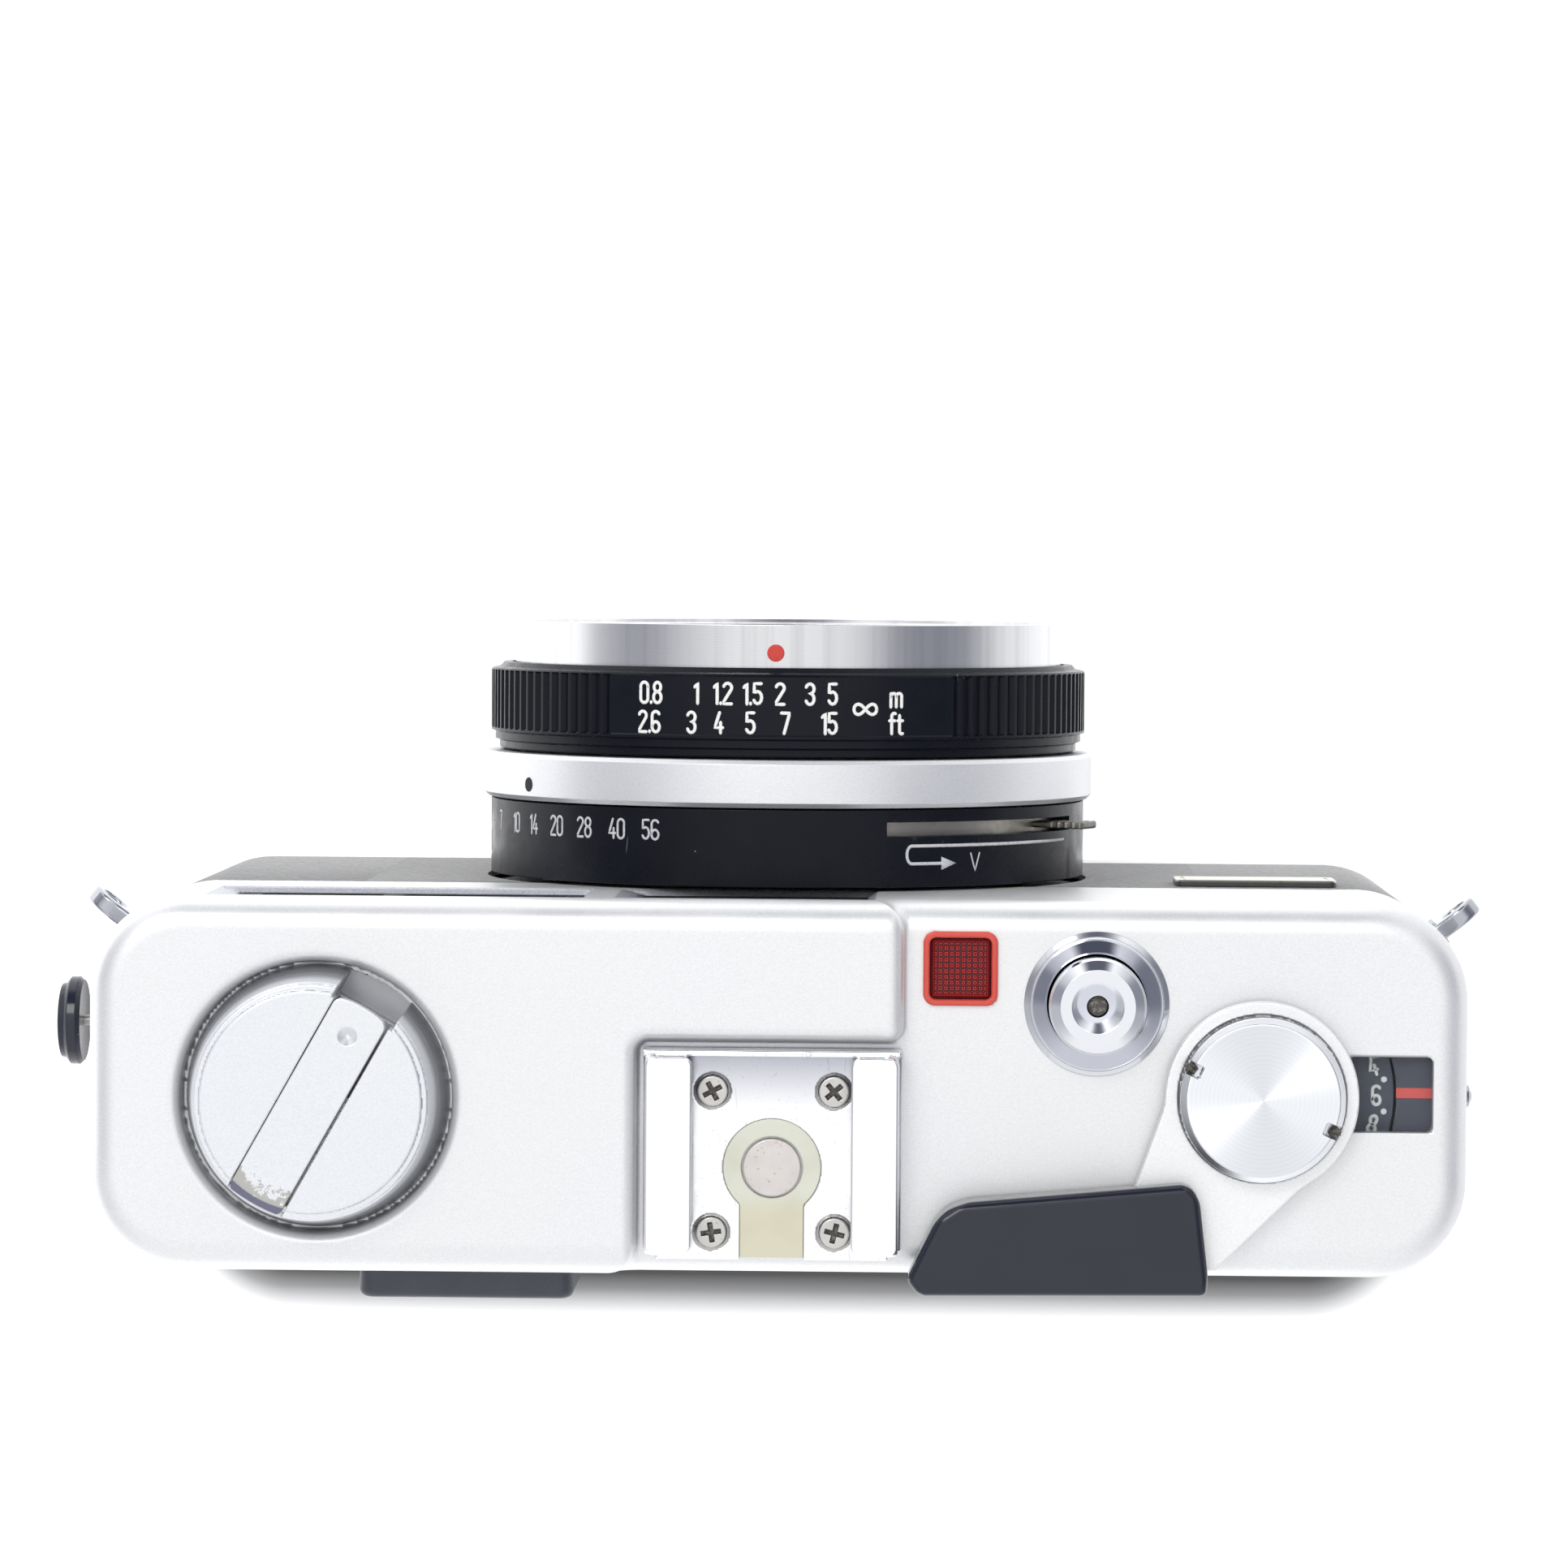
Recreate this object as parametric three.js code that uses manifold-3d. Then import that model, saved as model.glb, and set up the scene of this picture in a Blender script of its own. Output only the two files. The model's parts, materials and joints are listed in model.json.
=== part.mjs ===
// Compact 35 mm coupled-finder camera with a fixed lens, as an assembly of separate pieces.
// Millimetres. +Z is up, the lens looks along -Y, and +X is the photographer's left.
// The origin is on the flat base, under the middle of the body.
import * as THREE from "three";
import { mergeVertices } from "three/addons/utils/BufferGeometryUtils.js";
import Module from "manifold-3d";

const wasm = await Module();
wasm.setup();

// ---- driving dimensions ----
const BODY_WIDTH = 113;
const BODY_DEPTH = 30.8;
const CORNER_R = 8;
const EDGE_ROLL = 2.4;
const BASE_HEIGHT = 6.5;
const FRONT_SEAM = 45.5;
const REAR_SEAM = 51.5;
const LOW_DECK = 67;
const HIGH_DECK = 69.4;
const SKIN = 1.2;
const LEATHER = 0.5;
const GAP = 0.3;

const LENS = { x: 0.3, z: 30 };
const BASE_RING_R = 26.07;
const INDEX_RING_R = 26.75;
const FOCUS_RING_R = 26.1;
const BARREL_R = 24;
const LENS_FRONT = -37.7;
const BLADE = { r: 9.6, lap: 1, pivotX: 9, pivotDrop: 14.6 };

const REWIND = { x: 37.7, y: 0.95 };
const REWIND_RECESS_R = 11.1;
const REWIND_FLOOR = 65.4;
const KNOB_TOP = 73.4;
const KNOB_R = 10.25;
const CRANK_ANGLE = Math.atan2(-0.871, -0.49);
const CRANK_PIVOT_S = -8.6;
const CRANK_PIVOT_Z = 72.7;

const HUB = { x: -39.5, y: 0.35 };
const LEVER_R = 7.9;
const LEVER_Z = 67.9;
const LEVER_THICK = 1.1;
const TIP_TOP = 71.3;

const RELEASE = { x: -26.05, y: -7.1 };
const SPRING_FOOT = 57.9;
const LAMP = { x: -14.9, y: -9.9, size: 6.05 };
const COUNTER = { x0: -53.5, x1: -46.5, y0: -2.95, y1: 3.2 };
const SHOE = { x: 0.4, width: 21.1, gap: 13, y0: -3.3, y1: 14.1, floor: 67.65 };
const SHOE_STEP_Y = -3.9;
const SHOE_STEP_X = 11.5;
const DECK_STEP_X = -10.3;
const SHOE_SCREWS = [[5.3, 0.25], [-4.65, 0.25], [5.35, 11.85], [-4.75, 11.85]];
const CONTACT_Y = 6.5;

const SYNC = { y: -4.2, z: 57 };
const SIDE_SCREW = { y: 1.1, z: 57 };
const LUG_Z = 56;
const LUG_ANGLE = 39;
const EYEPIECE = { x: 25.8, z: 58, width: 17.8, height: 10.8, out: 18.1 };
const WINDOW_A = [15, 46.4];
const WINDOW_B = [-7.9, 12.9];
const WINDOW_Z = [50.3, 65.8];

const CASSETTE_R = 13;
const TAKE_UP_R = 11.6;
const SPROCKET = { x: -25, y: 5, r: 6.05 };
const CHAMBER_Z = [7.9, 50.3];
const FILM_PLANE = 11.4;
const GATE = { width: 36, height: 24 };
const BATTERY = { x: 20, y: -7, r: 5.8 };
const TRIPOD = { x: 0.3, y: 8 };
const HINGE = { x: -56, y: 6.6 };

const HX = BODY_WIDTH / 2;
const HY = BODY_DEPTH / 2;

// ---- materials ----
function finish(color, roughness, metalness) {
  return new THREE.MeshStandardMaterial({ color, roughness, metalness });
}
const SATIN_SILVER = finish(0xd9dadd, 0.45, 0.6);
const ALUMINIUM = finish(0xc8cacc, 0.3, 0.9);
const CHROME = finish(0xdfe1e6, 0.12, 1);
const STEEL = finish(0x9c9c98, 0.35, 0.9);
const CAST = finish(0x55575a, 0.6, 0.6);
const BLACK_METAL = finish(0x14161c, 0.4, 0.3);
const BLACK_PLASTIC = finish(0x12151e, 0.25, 0);
const GRIP_LEATHER = finish(0x2b2b2d, 0.8, 0);
const CREAM = finish(0xe2ddc4, 0.45, 0);
const RED = finish(0xc8201a, 0.3, 0);
const GLASS = finish(0x8d97a8, 0.05, 0);
const BRASS = finish(0xb08d4f, 0.35, 0.9);

const camera = new THREE.Group();

function add(name, geometry, material) {
  const mesh = new THREE.Mesh(geometry, material);
  mesh.name = name;
  camera.add(mesh);
}

// ---- solids ----
function solid(geometry) {
  const bare = geometry.clone();
  bare.deleteAttribute("normal");
  bare.deleteAttribute("uv");
  const merged = mergeVertices(bare, 1e-5);
  const mesh = new wasm.Mesh({
    numProp: 3,
    vertProperties: new Float32Array(merged.attributes.position.array),
    triVerts: new Uint32Array(merged.index.array),
  });
  return new wasm.Manifold(mesh);
}

function geometryOf(manifold) {
  const mesh = manifold.getMesh();
  const geometry = new THREE.BufferGeometry();
  geometry.setAttribute("position", new THREE.BufferAttribute(new Float32Array(mesh.vertProperties), 3));
  geometry.setIndex(new THREE.BufferAttribute(new Uint32Array(mesh.triVerts), 1));
  return geometry;
}

function addSolid(name, manifold, material) {
  add(name, geometryOf(manifold), material);
}

// Each corner takes its limits exactly, so that boxes meant to be flush are flush.
function boxBetween(x0, x1, y0, y1, z0, z1) {
  const geometry = new THREE.BoxGeometry(1, 1, 1);
  const corner = geometry.attributes.position;
  for (let i = 0; i < corner.count; i += 1) {
    const x = corner.getX(i) < 0 ? x0 : x1;
    const y = corner.getY(i) < 0 ? y0 : y1;
    const z = corner.getZ(i) < 0 ? z0 : z1;
    corner.setXYZ(i, x, y, z);
  }
  return solid(geometry);
}

function rod(x, y, z0, z1, r, sides = 16) {
  const geometry = new THREE.CylinderGeometry(r, r, z1 - z0, sides);
  geometry.rotateX(Math.PI / 2);
  geometry.translate(x, y, (z0 + z1) / 2);
  return solid(geometry);
}

function cone(x, y, z0, z1, r0, r1, sides = 28) {
  const geometry = new THREE.CylinderGeometry(r1, r0, z1 - z0, sides);
  geometry.rotateX(Math.PI / 2);
  geometry.translate(x, y, (z0 + z1) / 2);
  return solid(geometry);
}

// A rod lying along X or Y.
function sideRod(axis, a0, a1, b, z, r, sides = 16) {
  const geometry = new THREE.CylinderGeometry(r, r, a1 - a0, sides);
  const middle = (a0 + a1) / 2;
  if (axis === "x") {
    geometry.rotateZ(-Math.PI / 2);
    geometry.translate(middle, b, z);
  } else {
    geometry.translate(b, middle, z);
  }
  return solid(geometry);
}

// A turned piece about a vertical axis: points are [radius, z], a closed outline.
function turned(x, y, points, sides = 24) {
  const outline = points.map(([r, z]) => new THREE.Vector2(r, z));
  outline.push(outline[0].clone());
  const geometry = new THREE.LatheGeometry(outline, sides);
  geometry.rotateX(Math.PI / 2);
  geometry.translate(x, y, 0);
  return orient(geometry);
}

// A turned piece about the lens axis: points are [radius, y], a closed outline.
function lensTurned(points, sides = 36) {
  const outline = points.map(([r, y]) => new THREE.Vector2(r, y));
  outline.push(outline[0].clone());
  const geometry = new THREE.LatheGeometry(outline, sides);
  geometry.translate(LENS.x, 0, LENS.z);
  return orient(geometry);
}

// Turns a closed surface the right way out, whichever way its outline runs.
function orient(geometry) {
  const merged = geometry.clone();
  merged.deleteAttribute("normal");
  merged.deleteAttribute("uv");
  const clean = dropFlat(mergeVertices(merged, 1e-5));
  if (signedVolume(clean) < 0) {
    const index = clean.index.array;
    for (let i = 0; i < index.length; i += 3) {
      const keep = index[i];
      index[i] = index[i + 1];
      index[i + 1] = keep;
    }
  }
  return solid(clean);
}

function dropFlat(geometry) {
  const index = geometry.index.array;
  const kept = [];
  for (let i = 0; i < index.length; i += 3) {
    const [a, b, c] = [index[i], index[i + 1], index[i + 2]];
    if (a !== b && b !== c && c !== a) kept.push(a, b, c);
  }
  geometry.setIndex(kept);
  return geometry;
}

function signedVolume(geometry) {
  const p = geometry.attributes.position;
  const index = geometry.index.array;
  const [a, b, c] = [new THREE.Vector3(), new THREE.Vector3(), new THREE.Vector3()];
  let total = 0;
  for (let i = 0; i < index.length; i += 3) {
    a.fromBufferAttribute(p, index[i]);
    b.fromBufferAttribute(p, index[i + 1]);
    c.fromBufferAttribute(p, index[i + 2]);
    total += a.dot(b.cross(c)) / 6;
  }
  return total;
}

function extruded(shape, z0, z1, segments = 4) {
  const settings = { depth: z1 - z0, bevelEnabled: false, curveSegments: segments };
  const geometry = new THREE.ExtrudeGeometry(shape, settings);
  geometry.translate(0, 0, z0);
  return solid(geometry);
}

function roundedRect(x0, x1, y0, y1, r) {
  const shape = new THREE.Shape();
  shape.moveTo(x0 + r, y0);
  shape.lineTo(x1 - r, y0);
  shape.absarc(x1 - r, y0 + r, r, -Math.PI / 2, 0, false);
  shape.lineTo(x1, y1 - r);
  shape.absarc(x1 - r, y1 - r, r, 0, Math.PI / 2, false);
  shape.lineTo(x0 + r, y1);
  shape.absarc(x0 + r, y1 - r, r, Math.PI / 2, Math.PI, false);
  shape.lineTo(x0, y0 + r);
  shape.absarc(x0 + r, y0 + r, r, Math.PI, Math.PI * 1.5, false);
  return shape;
}

// The body's outline in plan, drawn in by an inset.
function bodyOutline(inset) {
  return roundedRect(-HX + inset, HX - inset, -HY + inset, HY - inset, Math.max(CORNER_R - inset, 1));
}

function bodyBlock(inset, z0, z1) {
  return extruded(bodyOutline(inset), z0, z1);
}

// The same block with its top edge rolled over in two steps.
function rolledBlock(z0, z1) {
  const steps = [[0, EDGE_ROLL], [0.35, 1.1], [1.1, 0.35], [EDGE_ROLL, 0]];
  let block = bodyBlock(0, z0, z1 - EDGE_ROLL);
  for (let i = 0; i < steps.length - 1; i += 1) {
    const [inset, drop] = steps[i];
    const [nextInset, nextDrop] = steps[i + 1];
    block = block.add(taperedBlock(inset, z1 - drop, nextInset, z1 - nextDrop));
  }
  return block;
}

// A loft between two insets of the body's outline.
function taperedBlock(insetLow, zLow, insetHigh, zHigh) {
  const low = ringPoints(insetLow);
  const high = ringPoints(insetHigh);
  const count = low.length;
  const vertices = [];
  low.forEach(([x, y]) => vertices.push(x, y, zLow));
  high.forEach(([x, y]) => vertices.push(x, y, zHigh));
  vertices.push(0, 0, zLow);
  vertices.push(0, 0, zHigh);
  const faces = [];
  for (let i = 0; i < count; i += 1) {
    const j = (i + 1) % count;
    faces.push(i, j, count + j);
    faces.push(i, count + j, count + i);
    faces.push(2 * count, j, i);
    faces.push(2 * count + 1, count + i, count + j);
  }
  const geometry = new THREE.BufferGeometry();
  geometry.setAttribute("position", new THREE.BufferAttribute(new Float32Array(vertices), 3));
  geometry.setIndex(faces);
  return orient(geometry);
}

function ringPoints(inset) {
  const points = [];
  const r = CORNER_R - inset;
  const steps = 4;
  const corners = [[1, -1, -0.5], [1, 1, 0], [-1, 1, 0.5], [-1, -1, 1]];
  for (const [sx, sy, start] of corners) {
    for (let i = 0; i <= steps; i += 1) {
      const angle = (start + (0.5 * i) / steps) * Math.PI;
      const cx = sx * (HX - CORNER_R);
      const cy = sy * (HY - CORNER_R);
      points.push([cx + r * Math.cos(angle), cy + r * Math.sin(angle)]);
    }
  }
  return points;
}

// ---- covers ----
function frontWindowCut([x0, x1]) {
  const [z0, z1] = WINDOW_Z;
  const reveal = 1.6;
  const outside = -HY - 0.05;
  const inside = -HY + SKIN + 0.3;
  const vertices = [];
  for (const [y, d] of [[outside, 0], [inside, reveal]]) {
    vertices.push(x0 + d, y, z0 + d, x1 - d, y, z0 + d, x1 - d, y, z1 - d * 0.4, x0 + d, y, z1 - d * 0.4);
  }
  const faces = [0, 1, 2, 0, 2, 3, 4, 6, 5, 4, 7, 6];
  for (let i = 0; i < 4; i += 1) {
    const j = (i + 1) % 4;
    faces.push(i, i + 4, j + 4, i, j + 4, j);
  }
  const geometry = new THREE.BufferGeometry();
  geometry.setAttribute("position", new THREE.BufferAttribute(new Float32Array(vertices), 3));
  geometry.setIndex(faces);
  return orient(geometry);
}

function highDeckZone(inset, z0, z1) {
  const finderSide = boxBetween(DECK_STEP_X + inset, HX, -HY, SHOE_STEP_Y - inset, z0, z1);
  const rewindSide = boxBetween(SHOE_STEP_X + inset, HX, -HY, HY, z0, z1);
  return finderSide.add(rewindSide);
}

function topCover() {
  const raised = rolledBlock(FRONT_SEAM, HIGH_DECK).intersect(highDeckZone(0, LOW_DECK - 4, HIGH_DECK));
  let cover = rolledBlock(FRONT_SEAM, LOW_DECK).add(raised);
  cover = cover.subtract(bodyBlock(SKIN, FRONT_SEAM - 1, LOW_DECK - SKIN));
  const raisedRoom = bodyBlock(SKIN + 1.6, LOW_DECK - 2, HIGH_DECK - SKIN);
  cover = cover.subtract(raisedRoom.intersect(highDeckZone(SKIN, LOW_DECK - 3, HIGH_DECK)));
  cover = cover.subtract(boxBetween(-HX - 1, HX + 1, 5.2, HY + 1, FRONT_SEAM - 1, REAR_SEAM));
  const cup = rod(REWIND.x, REWIND.y, REWIND_FLOOR - 1, HIGH_DECK - 1, REWIND_RECESS_R + 1, 28);
  cover = cover.add(cup);
  cover = cover.subtract(rod(REWIND.x, REWIND.y, REWIND_FLOOR, HIGH_DECK + 1, REWIND_RECESS_R, 28));
  cover = cover.subtract(
    cone(REWIND.x, REWIND.y, HIGH_DECK - 0.8, HIGH_DECK + 0.05, REWIND_RECESS_R, REWIND_RECESS_R + 0.9, 28));
  cover = cover.subtract(rod(REWIND.x, REWIND.y, REWIND_FLOOR - 2, REWIND_FLOOR + 1, 2.4));
  const half = LAMP.size / 2 - 0.15;
  cover = cover.subtract(
    boxBetween(LAMP.x - half, LAMP.x + half, LAMP.y - half, LAMP.y + half, LOW_DECK - 2, LOW_DECK + 1));
  cover = cover.subtract(rod(RELEASE.x, RELEASE.y, LOW_DECK - 2, LOW_DECK + 1, 5.45));
  cover = cover.subtract(rod(HUB.x, HUB.y, LOW_DECK - 2, LOW_DECK + 1, 3));
  cover = cover.subtract(
    boxBetween(COUNTER.x0, COUNTER.x1, COUNTER.y0, COUNTER.y1, LOW_DECK - 2, LOW_DECK + 1));
  for (const [x, y] of SHOE_SCREWS) {
    cover = cover.subtract(rod(x, y, LOW_DECK - 2, LOW_DECK + 1, 0.95, 10));
  }
  cover = cover.subtract(frontWindowCut(WINDOW_A)).subtract(frontWindowCut(WINDOW_B));
  const e = EYEPIECE;
  cover = cover.subtract(
    boxBetween(e.x - 8.5, e.x + 8.5, HY - 3, HY + 1, e.z - 4.8, e.z + 4.8));
  cover = cover.subtract(sideRod("x", HX - 3, HX + 1, SYNC.y, SYNC.z, 2.3));
  cover = cover.subtract(sideRod("x", -HX - 1, -HX + 3, SIDE_SCREW.y, SIDE_SCREW.z, 0.7, 12));
  return cover;
}

function bottomCover() {
  const flat = bodyBlock(0.9, 0, 1);
  const slope = taperedBlock(0.9, 0, 0, 0.9);
  let tray = flat.add(slope).add(bodyBlock(0, 0.9, BASE_HEIGHT));
  tray = tray.subtract(bodyBlock(SKIN, SKIN, BASE_HEIGHT + 1));
  tray = tray.subtract(rod(TRIPOD.x, TRIPOD.y, -1, 3, 5.2));
  tray = tray.subtract(rod(BATTERY.x, BATTERY.y, -1, 3, 7.25, 24));
  tray = tray.subtract(rod(SPROCKET.x, SPROCKET.y, -1, 3, 2.3));
  return tray;
}

// ---- body casting ----
function chassis() {
  const low = BASE_HEIGHT + GAP;
  const inner = HX - 0.9;
  const frontWall = -HY + LEATHER + 0.35;
  let body = extruded(roundedRect(-inner, inner, frontWall, 5.2, 7.1), low, FRONT_SEAM - GAP);
  body = body.subtract(boxBetween(-HX, HX, 0, 6, low - 1, FRONT_SEAM + 1));
  body = body.add(boxBetween(-inner, inner, -1, 5.2, low, FRONT_SEAM - GAP));
  const narrow = HX - 2.1;
  const rear = extruded(roundedRect(-narrow, narrow, 0, HY - 2.2, 6.1), low, REAR_SEAM - 0.5)
    .subtract(boxBetween(-HX, HX, -1, 6.2, low - 1, REAR_SEAM));
  body = body.add(rear).add(boxBetween(-narrow, narrow, 0, 6.3, low, REAR_SEAM - 0.5));
  const upper = extruded(
    roundedRect(-narrow + 0.3, narrow - 0.3, -HY + SKIN + 0.5, 6, 6), low, REAR_SEAM - 0.5);
  body = body.add(upper);
  const [z0, z1] = CHAMBER_Z;
  const mouth = HY;
  body = body.subtract(rod(REWIND.x, REWIND.y, z0, z1, CASSETTE_R, 28));
  body = body.subtract(
    boxBetween(REWIND.x - CASSETTE_R + 0.02, REWIND.x + CASSETTE_R - 0.02, REWIND.y, mouth, z0, z1));
  body = body.subtract(rod(HUB.x, HUB.y, z0, z1, TAKE_UP_R, 28));
  body = body.subtract(
    boxBetween(HUB.x - TAKE_UP_R + 0.02, HUB.x + TAKE_UP_R - 0.02, HUB.y, mouth, z0, z1));
  body = body.subtract(rod(SPROCKET.x, SPROCKET.y, z0, z1, SPROCKET.r + 0.55, 20));
  body = body.subtract(
    boxBetween(SPROCKET.x - 6.6, SPROCKET.x + 6.6, SPROCKET.y, mouth, z0, z1));
  const gateHalf = GATE.width / 2;
  body = body.subtract(
    boxBetween(-30, 26, FILM_PLANE, mouth, z0, z1));
  body = body.subtract(
    boxBetween(LENS.x - gateHalf, LENS.x + gateHalf, -6, mouth,
      LENS.z - GATE.height / 2, LENS.z + GATE.height / 2));
  body = body.subtract(sideRod("y", -HY - 1, -5, LENS.x, LENS.z, 9.2, 28));
  body = body.subtract(rod(REWIND.x, REWIND.y, z1 - 1, REAR_SEAM + 1, 2.4));
  body = body.subtract(rod(HUB.x, HUB.y, z1 - 1, REAR_SEAM + 1, 2.6));
  body = body.subtract(rod(BATTERY.x, BATTERY.y, 0, 13.2, BATTERY.r + 0.4, 20));
  body = body.subtract(rod(SPROCKET.x, SPROCKET.y, 0, 9, 2.4));
  for (const [x0, x1] of [[-20.5, -11.5], [12.1, 21]]) {
    body = body.subtract(boxBetween(x0, x1, -HY, -7.4, 19, 41));
  }
  const releasePost = rod(RELEASE.x, RELEASE.y, REAR_SEAM - 1.5, SPRING_FOOT, 3.4, 20);
  body = body.add(releasePost);
  return body.subtract(rod(RELEASE.x, RELEASE.y, 55.6, SPRING_FOOT + 1, 2.15));
}

function frontLeather(side) {
  const outer = bodyBlock(0, BASE_HEIGHT + GAP, FRONT_SEAM - 0.15);
  let skin = outer.subtract(bodyBlock(LEATHER, 0, FRONT_SEAM + 1));
  const x0 = side > 0 ? LENS.x : -HX - 1;
  const x1 = side > 0 ? HX + 1 : LENS.x;
  skin = skin.intersect(boxBetween(x0, x1, -HY - 1, 5, 0, FRONT_SEAM));
  return skin.subtract(sideRod("y", -HY - 2, -HY + 3, LENS.x, LENS.z, BASE_RING_R + 0.3, 48));
}

// ---- back ----
function doorZone(z0, z1, shift) {
  const freeEnd = boxBetween(0, HX + 1, 5.4 + shift, HY + 1, z0, z1);
  return freeEnd.add(boxBetween(-HX - 1, 1, 7.8 + shift, HY + 1, z0, z1));
}

function rearDoor() {
  const [z0, z1] = [BASE_HEIGHT + GAP, REAR_SEAM - GAP];
  const metal = bodyBlock(LEATHER + 0.05, z0, z1).subtract(bodyBlock(LEATHER + 1.25, z0 - 1, z1 + 1));
  let door = metal.intersect(doorZone(z0, z1, 0));
  door = door.add(rod(HINGE.x, HINGE.y, z0 + 4, z1 - 4, 1.05, 16));
  door = door.add(boxBetween(HINGE.x + 0.15, HINGE.x + 1.05, HINGE.y, 8.4, z0 + 4, z1 - 4));
  return door.subtract(rod(HINGE.x, HINGE.y, z0 - 1, z1 + 1, 0.72, 16));
}

function doorLeather() {
  const [z0, z1] = [BASE_HEIGHT + 0.9, REAR_SEAM - 0.9];
  const skin = bodyBlock(0, z0, z1).subtract(bodyBlock(LEATHER, z0 - 1, z1 + 1));
  return skin.intersect(doorZone(z0, z1, 0.4));
}

// ---- finder ----
function finderBlock() {
  const [z0, z1] = [52.2, 63.8];
  let block = boxBetween(16, 33.9, -12.6, 12.4, z0, z1).add(boxBetween(-8.4, 17, -12.6, -3, z0, z1));
  block = block.subtract(boxBetween(17.4, 32.5, -14, 14, z0 + 1.4, z1 - 1.4));
  return block.subtract(boxBetween(-7, 12.2, -14, -4.4, z0 + 1.4, z1 - 1.4));
}

function eyepieceFrame() {
  const e = EYEPIECE;
  const shape = roundedRect(e.x - e.width / 2, e.x + e.width / 2, -e.height / 2, e.height / 2, 1.2);
  const settings = { depth: e.out - HY - 0.1, bevelEnabled: false, curveSegments: 4 };
  const flange = new THREE.ExtrudeGeometry(shape, settings);
  flange.rotateX(Math.PI / 2);
  flange.translate(0, e.out, e.z);
  const neck = boxBetween(e.x - 8.2, e.x + 8.2, 12.8, HY + 0.2, e.z - 4.5, e.z + 4.5);
  return solid(flange).add(neck).subtract(
    boxBetween(e.x - 5.7, e.x + 5.7, 12, 19, e.z - 3.2, e.z + 3.2));
}

// ---- accessory shoe ----
function accessoryShoe() {
  const half = SHOE.width / 2;
  const inner = SHOE.gap / 2;
  const [base, floor, railLow, railTop] = [LOW_DECK + 0.05, SHOE.floor, SHOE.floor + 2.15, 70.6];
  let shoe = boxBetween(SHOE.x - half, SHOE.x + half, SHOE.y0, SHOE.y1, base, floor);
  for (const side of [-1, 1]) {
    const edges = [SHOE.x + side * half, SHOE.x + side * (half - 0.9)].sort((a, b) => a - b);
    const rail = [SHOE.x + side * (half - 0.25), SHOE.x + side * inner].sort((a, b) => a - b);
    shoe = shoe.add(boxBetween(edges[0], edges[1], SHOE.y0 + 0.4, SHOE.y1 - 0.6, base, railTop - 0.3));
    shoe = shoe.add(boxBetween(rail[0], rail[1], SHOE.y0 + 0.3, SHOE.y1 - 0.7, railLow, railTop));
  }
  shoe = shoe.add(boxBetween(SHOE.x - half, SHOE.x + half, SHOE.y0, SHOE.y0 + 0.55, base, railLow + 0.35));
  for (const [x, y] of SHOE_SCREWS) {
    shoe = shoe.subtract(rod(x, y, base - 1, floor + 1, 1.55, 14));
  }
  shoe = shoe.subtract(insulatorOutline(4, 2.6, base - 1, floor + 1));
  return shoe;
}

function insulatorOutline(r, half, z0, z1) {
  const disc = rod(SHOE.x, CONTACT_Y, z0, z1, r, 24);
  return disc.add(boxBetween(SHOE.x - half, SHOE.x + half, CONTACT_Y, SHOE.y1 + 0.1 - (4 - r), z0, z1));
}

function shoeScrew([x, y]) {
  const head = rod(x, y, 67.25, 67.95, 1.25, 12);
  return head.add(rod(x, y, 64.6, 67.3, 0.65, 8));
}

// ---- controls on the deck ----
function leverOutline(grow) {
  const shape = new THREE.Shape();
  const r = LEVER_R + grow;
  const [from, to] = [138.4 * Math.PI / 180, 338.2 * Math.PI / 180];
  shape.absarc(HUB.x, HUB.y, r, from, to, false);
  shape.lineTo(-29.2 + grow, 7.7);
  shape.lineTo(-16.6 + grow, 10.4 - grow);
  shape.lineTo(-14.6 + grow, 14.2 + grow);
  shape.lineTo(-35.9, 14.4 + grow);
  shape.closePath();
  return shape;
}

function advanceTip() {
  const shape = new THREE.Shape();
  shape.moveTo(-10.65, 15.2);
  shape.lineTo(-11.7, 16.55);
  shape.lineTo(-34.9, 16.35);
  shape.lineTo(-35.3, 15.6);
  shape.lineTo(-34.45, 8.3);
  shape.lineTo(-33.3, 7.25);
  shape.lineTo(-15.0, 8.85);
  shape.lineTo(-13.2, 10.05);
  shape.closePath();
  const cap = extruded(shape, LEVER_Z - 0.25, TIP_TOP);
  return cap.subtract(extruded(leverOutline(GAP), LEVER_Z - 2, LEVER_Z + LEVER_THICK + GAP, 16));
}

function advanceCap() {
  const { x, y } = HUB;
  let cap = turned(x, y, [[0, 69.3], [6.6, 69.3], [6.8, 69.6], [6.8, 70.7], [6.3, 71.1], [0, 71.1]], 32);
  cap = cap.add(rod(x, y, 51.9, 69.4, 2.2));
  for (const angle of [-24, 156]) {
    const a = (angle * Math.PI) / 180;
    cap = cap.subtract(rod(x + 6.5 * Math.cos(a), y + 6.5 * Math.sin(a), 69, 72, 0.5, 10));
  }
  return cap;
}

function releaseBezel() {
  return turned(RELEASE.x, RELEASE.y, [
    [4.1, 65.2], [5.15, 65.2], [5.15, 67.05], [5.85, 67.05], [5.85, 67.6],
    [5.3, 68.4], [4.95, 68.4], [4.1, 66.6]], 24);
}

function releaseButton() {
  return turned(RELEASE.x, RELEASE.y, [
    [0, 58], [1.8, 58], [1.8, 65.9], [3.8, 65.9], [3.85, 70.6], [3.5, 71], [2.8, 71],
    [0.95, 70.2], [0.95, 68], [0, 68]], 24);
}

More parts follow.
